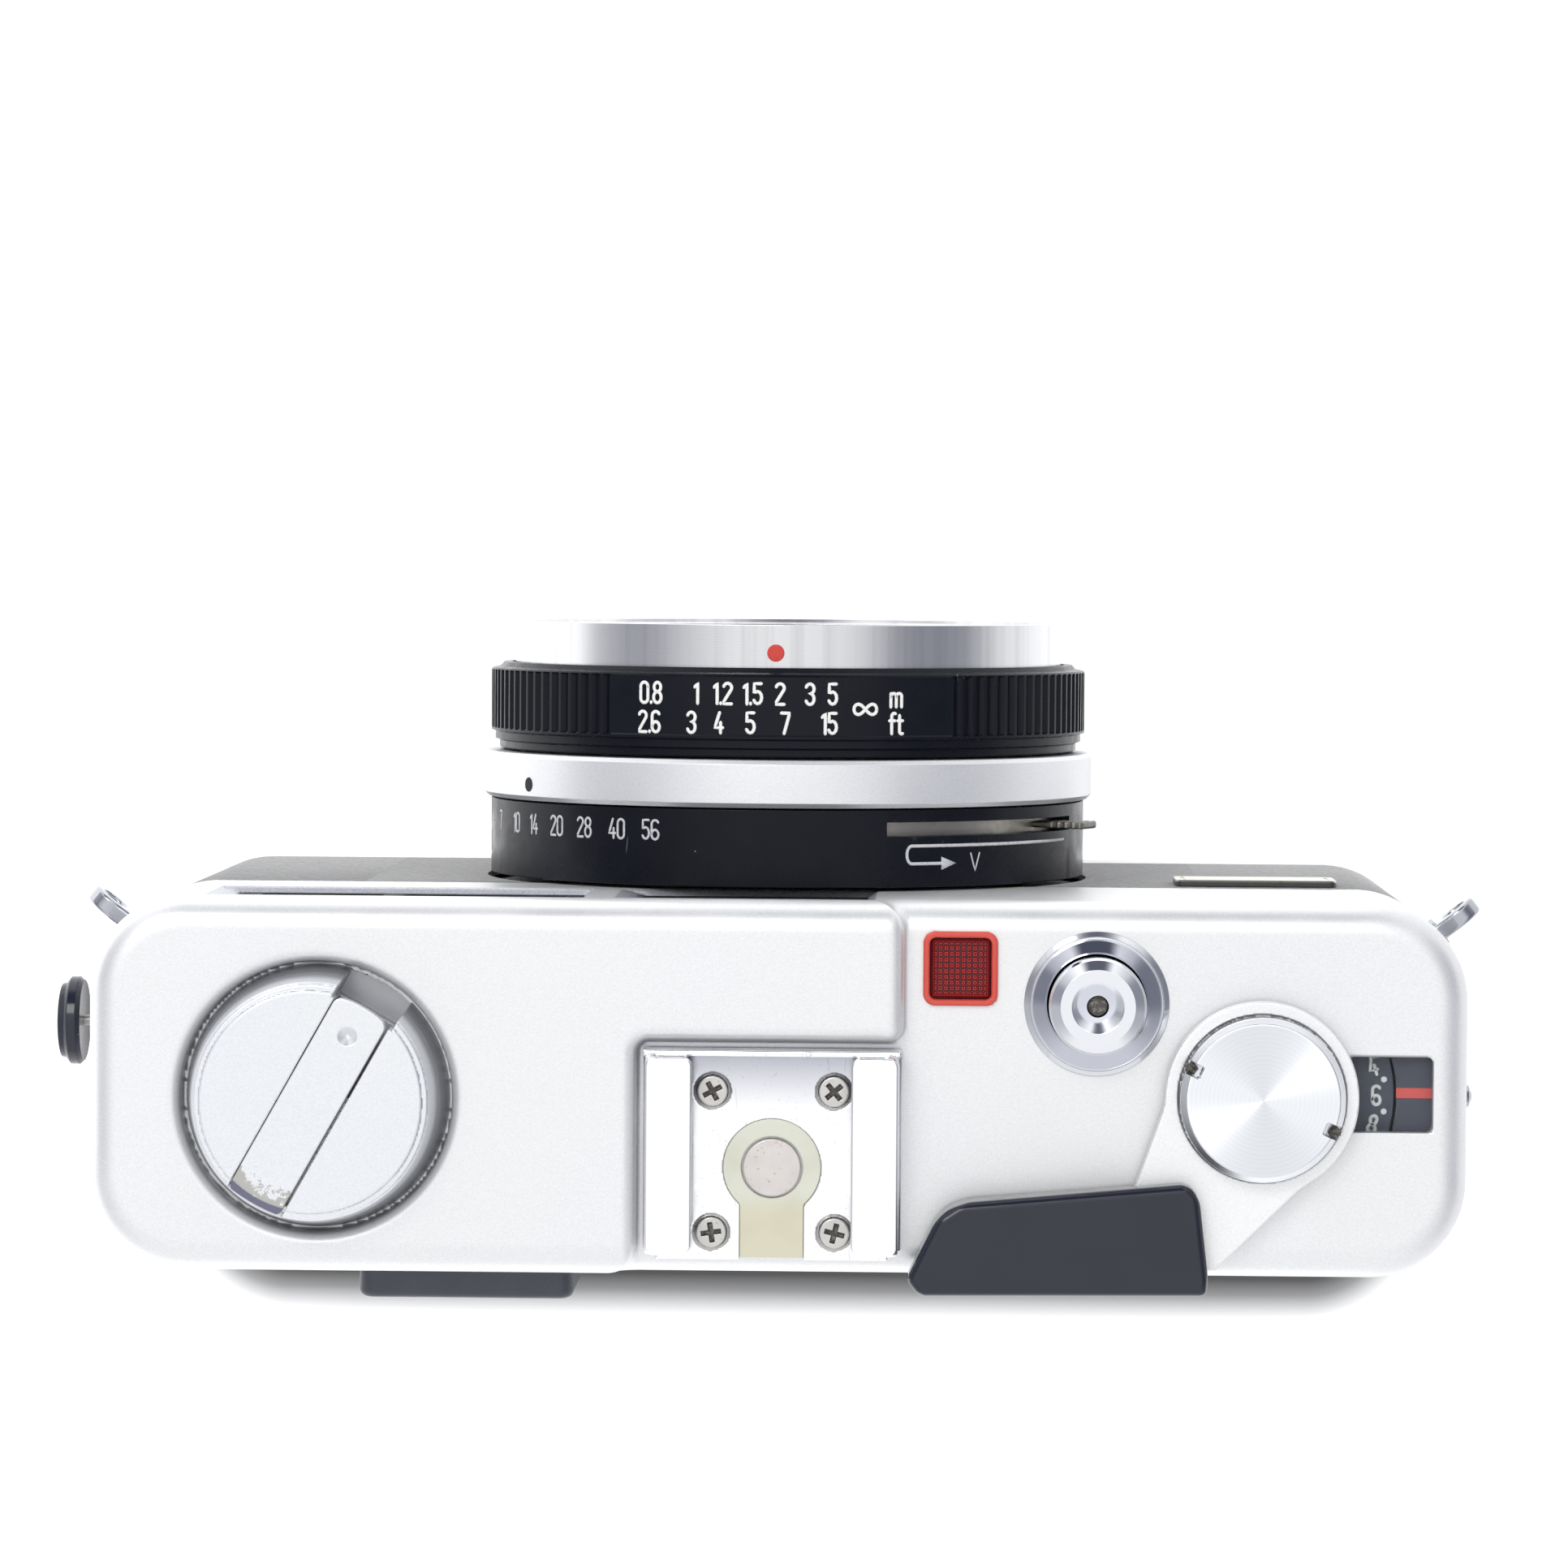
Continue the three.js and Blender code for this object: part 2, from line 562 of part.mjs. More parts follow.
function releaseSpring() {
  const turns = 4;
  const steps = 40;
  const points = [];
  for (let i = 0; i <= steps; i += 1) {
    const a = (i / steps) * turns * 2 * Math.PI;
    const z = 58.4 + (7.1 * i) / steps;
    points.push(new THREE.Vector3(RELEASE.x + 2.7 * Math.cos(a), RELEASE.y + 2.7 * Math.sin(a), z));
  }
  const section = new THREE.Shape();
  const sides = 5;
  for (let i = 0; i < sides; i += 1) {
    const a = (i / sides) * 2 * Math.PI;
    const [u, v] = [0.25 * Math.cos(a), 0.25 * Math.sin(a)];
    if (i === 0) section.moveTo(u, v);
    else section.lineTo(u, v);
  }
  section.closePath();
  const path = new THREE.CatmullRomCurve3(points);
  return orient(new THREE.ExtrudeGeometry(section, { steps, extrudePath: path, bevelEnabled: false }));
}

// ---- rewind ----
function alongCrank(s, t) {
  const [c, n] = [Math.cos(CRANK_ANGLE), Math.sin(CRANK_ANGLE)];
  return [REWIND.x + s * c - t * n, REWIND.y + s * n + t * c];
}

function crankBox(s0, s1, half, z0, z1) {
  const geometry = new THREE.BoxGeometry(s1 - s0, 2 * half, z1 - z0);
  geometry.rotateZ(CRANK_ANGLE);
  const [x, y] = alongCrank((s0 + s1) / 2, 0);
  geometry.translate(x, y, (z0 + z1) / 2);
  return solid(geometry);
}

function crankCrossRod(r, half, sides = 16) {
  const geometry = new THREE.CylinderGeometry(r, r, 2 * half, sides);
  geometry.rotateZ(CRANK_ANGLE);
  const [x, y] = alongCrank(CRANK_PIVOT_S, 0);
  geometry.translate(x, y, CRANK_PIVOT_Z);
  return solid(geometry);
}

function rewindKnob() {
  let knob = turned(REWIND.x, REWIND.y, [
    [0, 66.3], [10, 66.3], [KNOB_R, 66.7], [KNOB_R, 69.9], [9.95, 70.3], [9.3, 72.9],
    [9.05, KNOB_TOP], [0, KNOB_TOP]], 32);
  knob = knob.subtract(crankBox(-11, 11, 2.65, 71.7, KNOB_TOP + 1));
  knob = knob.subtract(crankBox(1.6, 11, 2.65, 68.2, KNOB_TOP + 1));
  return knob.subtract(crankCrossRod(0.6, 3.6));
}

function rewindCrank() {
  const [z0, z1] = [72.05, KNOB_TOP - 0.05];
  let crank = crankBox(CRANK_PIVOT_S, 9.6, 2.38, z0, z1);
  crank = crank.add(crankCrossRod(0.66, 2.38));
  const [gx, gy] = alongCrank(6.4, 0);
  crank = crank.add(rod(gx, gy, 68.9, 72.3, 1.9, 14));
  return crank.subtract(crankCrossRod(0.46, 4, 12));
}

function rewindShaft() {
  const { x, y } = REWIND;
  let shaft = rod(x, y, 49.6, 66.1, 1.9);
  shaft = shaft.add(rod(x, y, 45.4, 49.8, 2.2));
  return shaft.subtract(boxBetween(x - 1.1, x + 1.1, y - 3, y + 3, 45, 48.4));
}

function doorCatch() {
  const { x, y } = REWIND;
  let bar = boxBetween(x, 54.4, y - 1.6, y + 1.6, 54, 55);
  bar = bar.add(rod(x, y, 54, 55.6, 3.3));
  bar = bar.add(boxBetween(53.4, 54.4, y - 1.6, y + 1.6, 51.9, 54.5));
  return bar.subtract(rod(x, y, 53, 57, 2.2));
}

// ---- film transport ----
function takeUpSpool() {
  const { x, y } = HUB;
  let spool = rod(x, y, 8.4, 49.9, 6.8, 20);
  spool = spool.add(rod(x, y, 8.4, 9.6, 8.2, 20)).add(rod(x, y, 48.7, 49.9, 8.2, 20));
  for (let i = 0; i < 3; i += 1) {
    const a = (i * 2 * Math.PI) / 3;
    const slot = new THREE.BoxGeometry(4.4, 1.4, 34);
    slot.rotateZ(a);
    slot.translate(x + 6 * Math.cos(a), y + 6 * Math.sin(a), LENS.z);
    spool = spool.subtract(solid(slot));
  }
  return spool.subtract(rod(x, y, 45, 50.5, 2.4, 12));
}

function filmSprocket() {
  const { x, y, r } = SPROCKET;
  let drum = rod(x, y, 9.4, 49.9, 3.2, 14);
  const teeth = 8;
  for (const z of [LENS.z - 14.2, LENS.z + 14.2]) {
    drum = drum.add(rod(x, y, z - 1.6, z + 1.6, r - 0.75, 16));
    for (let i = 0; i < teeth; i += 1) {
      const a = ((i + 0.5) * 2 * Math.PI) / teeth;
      const tooth = new THREE.BoxGeometry(1.3, 1.1, 1.9);
      tooth.translate(r - 0.9, 0, 0);
      tooth.rotateZ(a);
      tooth.translate(x, y, z);
      drum = drum.add(solid(tooth));
    }
  }
  return drum;
}

// ---- lens ----
function arcBlock(r0, r1, degreesFrom, degreesTo, y0, y1) {
  const shape = new THREE.Shape();
  const [from, to] = [degreesFrom, degreesTo].map((a) => (a * Math.PI) / 180);
  const steps = Math.max(3, Math.round((degreesTo - degreesFrom) / 5));
  const at = (r, i) => from + ((to - from) * i) / steps;
  for (let i = 0; i <= steps; i += 1) {
    const a = at(r1, i);
    const point = [-r1 * Math.sin(a), r1 * Math.cos(a)];
    if (i === 0) shape.moveTo(...point);
    else shape.lineTo(...point);
  }
  for (let i = steps; i >= 0; i -= 1) {
    const a = at(r0, i);
    shape.lineTo(-r0 * Math.sin(a), r0 * Math.cos(a));
  }
  shape.closePath();
  const geometry = new THREE.ExtrudeGeometry(shape, { depth: y1 - y0, bevelEnabled: false });
  geometry.rotateX(Math.PI / 2);
  geometry.translate(LENS.x, y1, LENS.z);
  return solid(geometry);
}

function lensBase() {
  const ring = lensTurned([
    [20.4, -15.7], [BASE_RING_R, -15.7], [BASE_RING_R, -22.25], [24.5, -22.25],
    [24.5, -17.2], [20.4, -17.2]], 48);
  return ring.subtract(arcBlock(23.5, 28, 20.2, 71, -21.2, -20));
}

function selfTimerLever() {
  const band = arcBlock(22.7, 24.15, 56, 70, -21.1, -19.8);
  return band.add(arcBlock(23.5, 29.3, 62, 68.5, -20.85, -20.25));
}

function indexRing() {
  return lensTurned([
    [24.25, -22.4], [26.4, -22.4], [INDEX_RING_R, -22.8], [INDEX_RING_R, -26], [26.4, -26.4],
    [24.25, -26.4]], 48);
}

function focusRing() {
  return lensTurned([
    [24.3, -26.6], [25.3, -26.6], [25.3, -27.3], [FOCUS_RING_R, -27.6], [FOCUS_RING_R, -33.6],
    [24.9, -34.1], [24.3, -34.1]], 48);
}

function frontBarrel() {
  return lensTurned([
    [21.7, -23.5], [22.7, -23.5], [22.7, -28.9], [BARREL_R, -28.9], [BARREL_R, LENS_FRONT],
    [22.9, LENS_FRONT], [22.9, -34], [11.9, -34], [11.9, -27.4], [13.2, -27.4], [13.2, -32.4],
    [21.7, -32.4]], 40);
}

function nameRing() {
  const ring = lensTurned([[12.3, -34.3], [22.6, -34.3], [22.6, -34.8], [12.3, -35.2]], 36);
  return ring.subtract(sideRod("y", -37, -33, LENS.x, LENS.z + 18, 2.3, 12));
}

function lensElement(r, backY, frontY, bulge) {
  const outline = [[0, backY], [r, backY], [r, frontY]];
  const steps = 4;
  for (let i = 1; i <= steps; i += 1) {
    const q = r * (1 - i / steps);
    outline.push([q, frontY - bulge * (1 - (q / r) ** 2)]);
  }
  return lensTurned(outline, 24);
}

function shutterHousing() {
  return lensTurned([
    [9.2, -14.9], [14, -14.9], [14, -15.6], [20, -15.6], [20, -21.6], [23.9, -21.6],
    [23.9, -27.6], [23, -27.6], [23, -22.4], [20, -22.4], [20, -24.8], [9.2, -24.8]], 36);
}

// A half-round leaf that covers one side of the aperture and swings on a pin below it.
function shutterBlade(side, y0, y1) {
  const leaf = sideRod("y", y0, y1, LENS.x, LENS.z, BLADE.r, 28);
  const [near, far] = [LENS.x - side * BLADE.lap, LENS.x + side * (BLADE.r + 1)];
  const half = boxBetween(Math.min(near, far), Math.max(near, far), y0 - 1, y1 + 1, 0, 2 * LENS.z);
  const armX = LENS.x + side * BLADE.pivotX;
  const foot = LENS.z - BLADE.pivotDrop - 1;
  return leaf.intersect(half).add(boxBetween(armX - 1.6, armX + 1.6, y0, y1, foot, LENS.z - 2.6));
}

// ---- small fittings ----
function syncCap() {
  const head = new THREE.LatheGeometry([
    new THREE.Vector2(0, 58.5), new THREE.Vector2(3.3, 58.5), new THREE.Vector2(3.7, 58.8),
    new THREE.Vector2(3.7, 59.6), new THREE.Vector2(3.2, 60.35), new THREE.Vector2(0, 60.4)], 20);
  head.rotateZ(-Math.PI / 2);
  head.translate(0, SYNC.y, SYNC.z);
  return orient(head).add(sideRod("x", 54.2, 58.7, SYNC.y, SYNC.z, 0.45, 8));
}

function syncSocket() {
  const tube = sideRod("x", 52.5, HX + 0.1, SYNC.y, SYNC.z, 2);
  return tube.subtract(sideRod("x", 53.6, HX + 1, SYNC.y, SYNC.z, 0.8, 10));
}

function strapLug(side) {
  const shape = new THREE.Shape();
  shape.moveTo(0, -1.7);
  shape.lineTo(2.6, -2.1);
  shape.absarc(2.65, 0, 2.1, -Math.PI / 2, Math.PI / 2, false);
  shape.lineTo(0, 1.7);
  shape.closePath();
  const eye = new THREE.Path();
  eye.absarc(2.65, 0, 1.25, 0, 2 * Math.PI, true);
  shape.holes.push(eye);
  const plate = new THREE.ExtrudeGeometry(shape, { depth: 1.3, bevelEnabled: false, curveSegments: 6 });
  plate.translate(0, 0, -0.65);
  plate.rotateX(Math.PI / 2);
  plate.translate(CORNER_R + 0.15, 0, 0);
  const angle = side > 0 ? -LUG_ANGLE : 180 + LUG_ANGLE;
  plate.rotateZ((angle * Math.PI) / 180);
  plate.translate(side * (HX - CORNER_R), -HY + CORNER_R, LUG_Z);
  return orient(plate);
}

function sideScrew() {
  const head = new THREE.LatheGeometry([
    new THREE.Vector2(0, 0), new THREE.Vector2(0.95, 0), new THREE.Vector2(0.95, 0.4),
    new THREE.Vector2(0.6, 0.95), new THREE.Vector2(0, 1.1)], 16);
  head.rotateZ(Math.PI / 2);
  head.translate(-HX - 0.1, SIDE_SCREW.y, SIDE_SCREW.z);
  return orient(head).add(sideRod("x", -HX - 0.3, -HX + 2, SIDE_SCREW.y, SIDE_SCREW.z, 0.4, 10));
}

function tripodSocket() {
  return turned(TRIPOD.x, TRIPOD.y, [
    [3.17, 0], [5, 0], [5, 1.3], [4.4, 1.3], [4.4, 6.4], [0, 6.4], [0, 5.6], [3.17, 5.6]], 20);
}

function batteryCover() {
  const { x, y } = BATTERY;
  const cover = rod(x, y, 0.15, 1.5, 7, 24);
  return cover.subtract(boxBetween(x - 5, x + 5, y - 0.7, y + 0.7, -1, 0.95));
}

// ---- assembly ----
addSolid("chassis", chassis(), CAST);
addSolid("top_cover", topCover(), SATIN_SILVER);
addSolid("bottom_cover", bottomCover(), SATIN_SILVER);
addSolid("front_leather_left", frontLeather(1), GRIP_LEATHER);
addSolid("front_leather_right", frontLeather(-1), GRIP_LEATHER);
addSolid("badge_plate", boxBetween(-46.8, -33.1, -HY - 0.55, -HY - 0.05, 37.5, 43.6), CHROME);
addSolid("viewfinder_window", boxBetween(16.2, 45.2, -14.05, -13.05, 51.4, 65.2), GLASS);
addSolid("rangefinder_window", boxBetween(-6.8, 11.8, -14.05, -13.05, 51.4, 65.2), GLASS);
addSolid("finder_block", finderBlock(), BLACK_PLASTIC);
addSolid("eyepiece_frame", eyepieceFrame(), BLACK_PLASTIC);
addSolid("eyepiece_lens",
  boxBetween(EYEPIECE.x - 5.5, EYEPIECE.x + 5.5, 15, 16.2, EYEPIECE.z - 3, EYEPIECE.z + 3), GLASS);
addSolid("accessory_shoe", accessoryShoe(), CHROME);
addSolid("shoe_insulator",
  insulatorOutline(3.85, 2.45, LOW_DECK + 0.05, SHOE.floor - 0.05)
    .subtract(rod(SHOE.x, CONTACT_Y, 60, 70, 2.52, 20)), CREAM);
addSolid("shoe_contact", rod(SHOE.x, CONTACT_Y, LOW_DECK + 0.05, SHOE.floor + 0.15, 2.37, 20), STEEL);
SHOE_SCREWS.forEach((place, i) => addSolid(`shoe_screw_${i + 1}`, shoeScrew(place), STEEL));
const lampRim = LAMP.size / 2;
addSolid("lamp_bezel",
  boxBetween(LAMP.x - lampRim, LAMP.x + lampRim, LAMP.y - lampRim, LAMP.y + lampRim, 67.05, 67.5)
    .add(boxBetween(LAMP.x - 2.75, LAMP.x + 2.75, LAMP.y - 2.75, LAMP.y + 2.75, 63.5, 67.3))
    .subtract(boxBetween(LAMP.x - 2.45, LAMP.x + 2.45, LAMP.y - 2.45, LAMP.y + 2.45, 60, 70)), RED);
addSolid("lamp_lens",
  boxBetween(LAMP.x - 2.35, LAMP.x + 2.35, LAMP.y - 2.35, LAMP.y + 2.35, 64.5, 67.3), RED);
addSolid("release_bezel", releaseBezel(), CHROME);
addSolid("release_button", releaseButton(), CHROME);
addSolid("release_spring", releaseSpring(), STEEL);
addSolid("advance_lever",
  extruded(leverOutline(0), LEVER_Z, LEVER_Z + LEVER_THICK, 16)
    .subtract(rod(HUB.x, HUB.y, 60, 70, 2.5)), SATIN_SILVER);
addSolid("advance_tip", advanceTip(), BLACK_PLASTIC);
addSolid("advance_cap", advanceCap(), ALUMINIUM);
addSolid("counter_window",
  boxBetween(COUNTER.x0 + 0.15, COUNTER.x1 - 0.15, COUNTER.y0 + 0.15, COUNTER.y1 - 0.15, 65.9, 66.75), GLASS);
addSolid("counter_dial",
  rod(HUB.x, HUB.y, 64.3, 65, 11, 36).add(rod(HUB.x, HUB.y, 62.5, 64.4, 4.2))
    .subtract(rod(HUB.x, HUB.y, 60, 70, 2.5)), BLACK_METAL);
addSolid("rewind_knob", rewindKnob(), SATIN_SILVER);
addSolid("rewind_crank", rewindCrank(), SATIN_SILVER);
addSolid("crank_pin", crankCrossRod(0.32, 3.4, 12), STEEL);
addSolid("rewind_shaft", rewindShaft(), STEEL);
addSolid("door_catch", doorCatch(), STEEL);
addSolid("rear_door", rearDoor(), BLACK_METAL);
addSolid("door_leather", doorLeather(), GRIP_LEATHER);
addSolid("door_hinge_pin", rod(HINGE.x, HINGE.y, BASE_HEIGHT + 0.4, REAR_SEAM - 0.2, 0.55, 12), STEEL);
addSolid("pressure_plate",
  boxBetween(LENS.x - 23, LENS.x + 22, FILM_PLANE + 0.3, FILM_PLANE + 1, 13.5, 46.5), BLACK_METAL);
addSolid("take_up_spool", takeUpSpool(), BLACK_PLASTIC);
addSolid("film_sprocket", filmSprocket(), BLACK_METAL);
addSolid("lens_base", lensBase(), BLACK_METAL);
addSolid("index_ring", indexRing(), ALUMINIUM);
addSolid("focus_ring", focusRing(), BLACK_METAL);
addSolid("front_barrel", frontBarrel(), ALUMINIUM);
addSolid("name_ring", nameRing(), BLACK_METAL);
addSolid("front_lens", lensElement(11.6, -31, -33.6, 1.7), GLASS);
addSolid("rear_lens", lensElement(11.6, -27.7, -28.6, 1.1), GLASS);
addSolid("light_cell", sideRod("y", -35.2, -34.3, LENS.x, LENS.z + 18, 2, 20), GLASS);
addSolid("shutter_housing", shutterHousing(), BLACK_METAL);
addSolid("shutter_blade_left", shutterBlade(1, -25.55, -25.15), BLACK_METAL);
addSolid("shutter_blade_right", shutterBlade(-1, -26.25, -25.85), BLACK_METAL);
addSolid("self_timer_lever", selfTimerLever(), STEEL);
addSolid("sync_socket", syncSocket(), CHROME);
addSolid("sync_cap", syncCap(), BLACK_PLASTIC);
addSolid("strap_lug_left", strapLug(1), CHROME);
addSolid("strap_lug_right", strapLug(-1), CHROME);
addSolid("side_screw", sideScrew(), STEEL);
addSolid("tripod_socket", tripodSocket(), BRASS);
addSolid("battery", rod(BATTERY.x, BATTERY.y, 1.9, 12.6, BATTERY.r, 20), STEEL);
addSolid("battery_cover", batteryCover(), ALUMINIUM);
addSolid("rewind_release", rod(SPROCKET.x, SPROCKET.y, 0.3, 7.2, 2), STEEL);

export default camera;
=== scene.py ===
"""Looks for a compact 35 mm camera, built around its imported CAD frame.

Shapes are given in millimetres in the part's frame: +Z is up, the lens looks along -Y, and +X is
the photographer's left. Rounded shells are distance fields turned into meshes; turned pieces
and strips are profiles swept along a path.
"""
import json
import math

import bpy
import numpy as np
import openvdb
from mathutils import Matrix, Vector
from numpy import hypot, maximum, minimum


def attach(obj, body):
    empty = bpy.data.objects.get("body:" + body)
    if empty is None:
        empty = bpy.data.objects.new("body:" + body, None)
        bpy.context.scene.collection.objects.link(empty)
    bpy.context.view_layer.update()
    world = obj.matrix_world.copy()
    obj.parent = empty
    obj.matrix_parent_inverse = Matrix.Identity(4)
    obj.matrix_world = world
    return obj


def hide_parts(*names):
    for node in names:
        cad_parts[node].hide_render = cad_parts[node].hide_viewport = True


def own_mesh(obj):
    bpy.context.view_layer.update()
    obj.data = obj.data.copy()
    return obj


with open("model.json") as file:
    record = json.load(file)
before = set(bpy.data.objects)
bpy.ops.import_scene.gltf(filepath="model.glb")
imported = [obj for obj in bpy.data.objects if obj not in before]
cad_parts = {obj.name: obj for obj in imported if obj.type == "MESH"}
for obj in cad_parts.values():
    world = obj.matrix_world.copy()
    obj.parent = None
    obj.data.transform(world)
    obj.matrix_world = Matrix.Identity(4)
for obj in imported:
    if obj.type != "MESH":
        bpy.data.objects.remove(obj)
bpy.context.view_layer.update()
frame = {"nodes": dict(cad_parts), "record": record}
nodes = frame["nodes"]
SLOTS = {part["node"]: part["material_slot"] for part in frame["record"]["subparts"]}
MM = 0.001

# ---- Driving sizes, mm ----
HALF_X, HALF_Y, CORNER_R = 56.5, 15.4, 8.0
CORNER_STEPS = 14
LOW_DECK, HIGH_DECK = 67.0, 69.4
FRONT_SEAM, REAR_SEAM, BASE_TOP = 45.5, 51.5, 6.5
SKIN = 1.2
LENS_X, LENS_Z = 0.3, 30.0
REWIND = (37.7, 0.95)
HUB = (-39.5, 0.35)
RELEASE = (-26.05, -7.1)
LAMP = (-14.9, -9.9)
SHOE_X = 0.4
CONTACT = (0.4, 6.5)
SHOE_SCREWS = ((5.3, 0.25, 28), (-4.65, 0.25, 40), (5.35, 11.85, 8), (-4.75, 11.85, -14))
EYEPIECE = (25.8, 58.0)
COUNTER = (-53.5, -46.5, -2.95, 3.2)
KNOB_TOP = 73.4
CRANK_DIRECTION = (-0.4903, -0.8716)
BATTERY = (20.0, -7.0)
TRIPOD = (0.3, 8.0)
SPROCKET = (-25.0, 5.0)
SYNC = (-4.2, 57.0)
SIDE_SCREW = (1.1, 57.0)
WINDOWS = ((15.9, 47.4), (-7.9, 13.6))
POCKET_DEPTH = 0.55
BASE_SCREWS = ((-50.5, 9.0), (50.5, 9.0), (-50.5, -9.5), (47.0, -9.5))
LEVER_TIP = [(-10.63, 15.2), (-11.7, 16.55), (-35.0, 16.33), (-35.25, 15.55), (-34.4, 8.25),
    (-33.35, 7.2), (-14.9, 8.9), (-13.16, 10.05)]
FRAME_STEP = 7.4
LENS_CENTER = (LENS_X, 0, LENS_Z)
KNURL_PITCH = 2.75
KNURL_Y = (-33.47, -28.37)
KNURL_FREE = 34.3


# ---- Nodes ----
class Nodes:
    """Short ways to add nodes to a tree."""

    def __init__(self, tree):
        self.tree = tree

    def node(self, kind, **values):
        node = self.tree.nodes.new(kind)
        for key, value in values.items():
            setattr(node, key, value)
        return node

    def link(self, output, target):
        self.tree.links.new(output, target)

    def step(self, value, low, high, out_low=0.0, out_high=1.0, smooth=False):
        node = self.node("ShaderNodeMapRange",
            interpolation_type="SMOOTHSTEP" if smooth else "LINEAR")
        numbers = {"From Min": low, "From Max": high, "To Min": out_low, "To Max": out_high}
        for socket, number in numbers.items():
            node.inputs[socket].default_value = number
        self.link(value, node.inputs["Value"])
        return node.outputs["Result"]

    def math(self, operation, a, b):
        node = self.node("ShaderNodeMath", operation=operation)
        for socket, value in zip(node.inputs, (a, b)):
            if isinstance(value, (int, float)):
                socket.default_value = value
            else:
                self.link(value, socket)
        return node.outputs["Value"]

    def times(self, a, b):
        return self.math("MULTIPLY", a, b)

    def mix(self, a, b, fac):
        node = self.node("ShaderNodeMix", data_type="RGBA")
        colors = [s for s in node.inputs if s.type == "RGBA"]
        for socket, value in zip(colors, (a, b)):
            if isinstance(value, tuple):
                socket.default_value = (*value[:3], 1)
            else:
                self.link(value, socket)
        self.link(fac, node.inputs[0])
        return [s for s in node.outputs if s.type == "RGBA"][0]


# ---- Camera, light and floor ----
CAMERA_PLACE = (-12.375, -43.357, 528.779)
CAMERA_TURN = (-2.2806, 1.5068, -179.6014)
FOCAL_LENGTH = 129.93
FLOOR_HALF = 3.0  # metres
GLOW = 0.6
# Where the floor's painted shadow fades out, in mm from the body: first its glow, then its dark
# colour.
SHADOW_FADE = (9.0, 12.5)
CONTACT_SHADOW_FADE = (7.5, 11.2)
SKY = (1.10, 1.105, 1.115)
# Each patch: direction, the cosines it fades in between, colour.
SKY_PATCHES = (
    ((0.15, -0.70, 0.68), 0.60, 1.0, (1.42, 1.42, 1.42)),
    ((0.96, 0.0, 0.15), 0.45, 0.98, (0.60, 0.61, 0.64)),
    ((-0.96, 0.0, 0.15), 0.45, 0.98, (0.50, 0.51, 0.55)),
    ((-0.88, -0.20, 0.44), 0.86, 0.97, (0.30, 0.31, 0.36)),
    ((0.88, -0.20, 0.44), 0.93, 0.985, (0.36, 0.37, 0.42)),
    ((0.0, -0.90, 0.44), 0.90, 0.975, (0.13, 0.14, 0.18)),
)


def make_camera():
    data = bpy.data.cameras.new("camera")
    data.lens = FOCAL_LENGTH
    data.sensor_width = 36
    data.clip_start, data.clip_end = 0.01, 20
    camera = bpy.data.objects.new("camera", data)
    camera.location = Vector(CAMERA_PLACE) * MM
    camera.rotation_euler = [math.radians(a) for a in CAMERA_TURN]
    bpy.context.scene.collection.objects.link(camera)
    bpy.context.scene.camera = camera


def make_area_light(name, place, target, size, power):
    data = bpy.data.lights.new(name, "AREA")
    data.shape = "DISK"
    data.size = size
    data.energy = power
    light = bpy.data.objects.new(name, data)
    light.location = place
    aim = Vector(target) - Vector(place)
    light.rotation_euler = aim.to_track_quat("-Z", "Y").to_euler()
    bpy.context.scene.collection.objects.link(light)


def make_world():
    """Even studio light: brighter in front and above, dimmer at the ends and behind the collars."""
    world = bpy.data.worlds.new("studio")
    bpy.context.scene.world = world
    world.use_nodes = True
    sky = Nodes(world.node_tree)
    coords = sky.node("ShaderNodeTexCoord").outputs["Generated"]
    light = SKY
    for direction, low, high, color in SKY_PATCHES:
        towards = sky.node("ShaderNodeVectorMath", operation="DOT_PRODUCT")
        towards.inputs[1].default_value = Vector(direction).normalized()
        sky.link(coords, towards.inputs[0])
        fade = sky.step(towards.outputs["Value"], low, high, smooth=True)
        light = sky.mix(light, color, fade)
    background = world.node_tree.nodes["Background"]
    sky.link(light, background.inputs["Color"])
    background.inputs["Strength"].default_value = 1.0


def make_floor():
    """A pale floor that glows so that it whites out, but for painted shadow: its glow fades and its
    colour is painted dark in a contact shadow behind the body, and its glow fades towards -X as a
    painted soft shadow.
    """
    mesh = bpy.data.meshes.new("floor")
    s = FLOOR_HALF
    mesh.from_pydata([(-s, -s, 0), (s, -s, 0), (s, s, 0), (-s, s, 0)], [], [(0, 1, 2, 3)])
    floor = bpy.data.objects.new("floor", mesh)
    floor.location.z = -0.0001
    bpy.context.scene.collection.objects.link(floor)
    look = Look("studio_floor", (0.95, 0.95, 0.95), roughness=0.7)
    look.set("Emission Color", (1, 1, 1, 1))
    beyond = []
    for axis, half in (("X", HALF_X - 9), ("Y", HALF_Y + 1)):
        past = look.math("SUBTRACT", look.math("ABSOLUTE", look.axis(axis), 0), half * MM)
        past = look.math("MAXIMUM", past, 0)
        beyond.append(look.times(past, past))
    away = look.math("SQRT", look.math("ADD", *beyond), 0)
    behind = look.step(look.axis("Y"), HALF_Y * MM, (HALF_Y + 4) * MM)
    near, far = SHADOW_FADE
    # The glow fades near the body and behind it, a painted shadow on the floor.
    glow = look.math("MAXIMUM", look.step(away, near * MM, far * MM, 0, GLOW),
                     look.step(behind, 0, 1, GLOW, 0))
    # Less glow towards -X: a painted soft shadow beside the body.
    glow = look.math("MINIMUM", glow, look.step(look.axis("X"), -115 * MM, -45 * MM, 0.12, GLOW))
    look.link(glow, look.shader.inputs["Emission Strength"])
    look.vary_color((0.96, 0.96, 0.96), (0.94, 0.94, 0.94), look.noise(180, detail=2))
    near, far = CONTACT_SHADOW_FADE
    # Painted contact shadow: the floor's colour darkens just behind the body.
    contact = look.times(look.step(away, near * MM, far * MM, 0.94, 0), behind)
    look.stain((0.08, 0.08, 0.08), contact)
    mesh.materials.append(look.material)


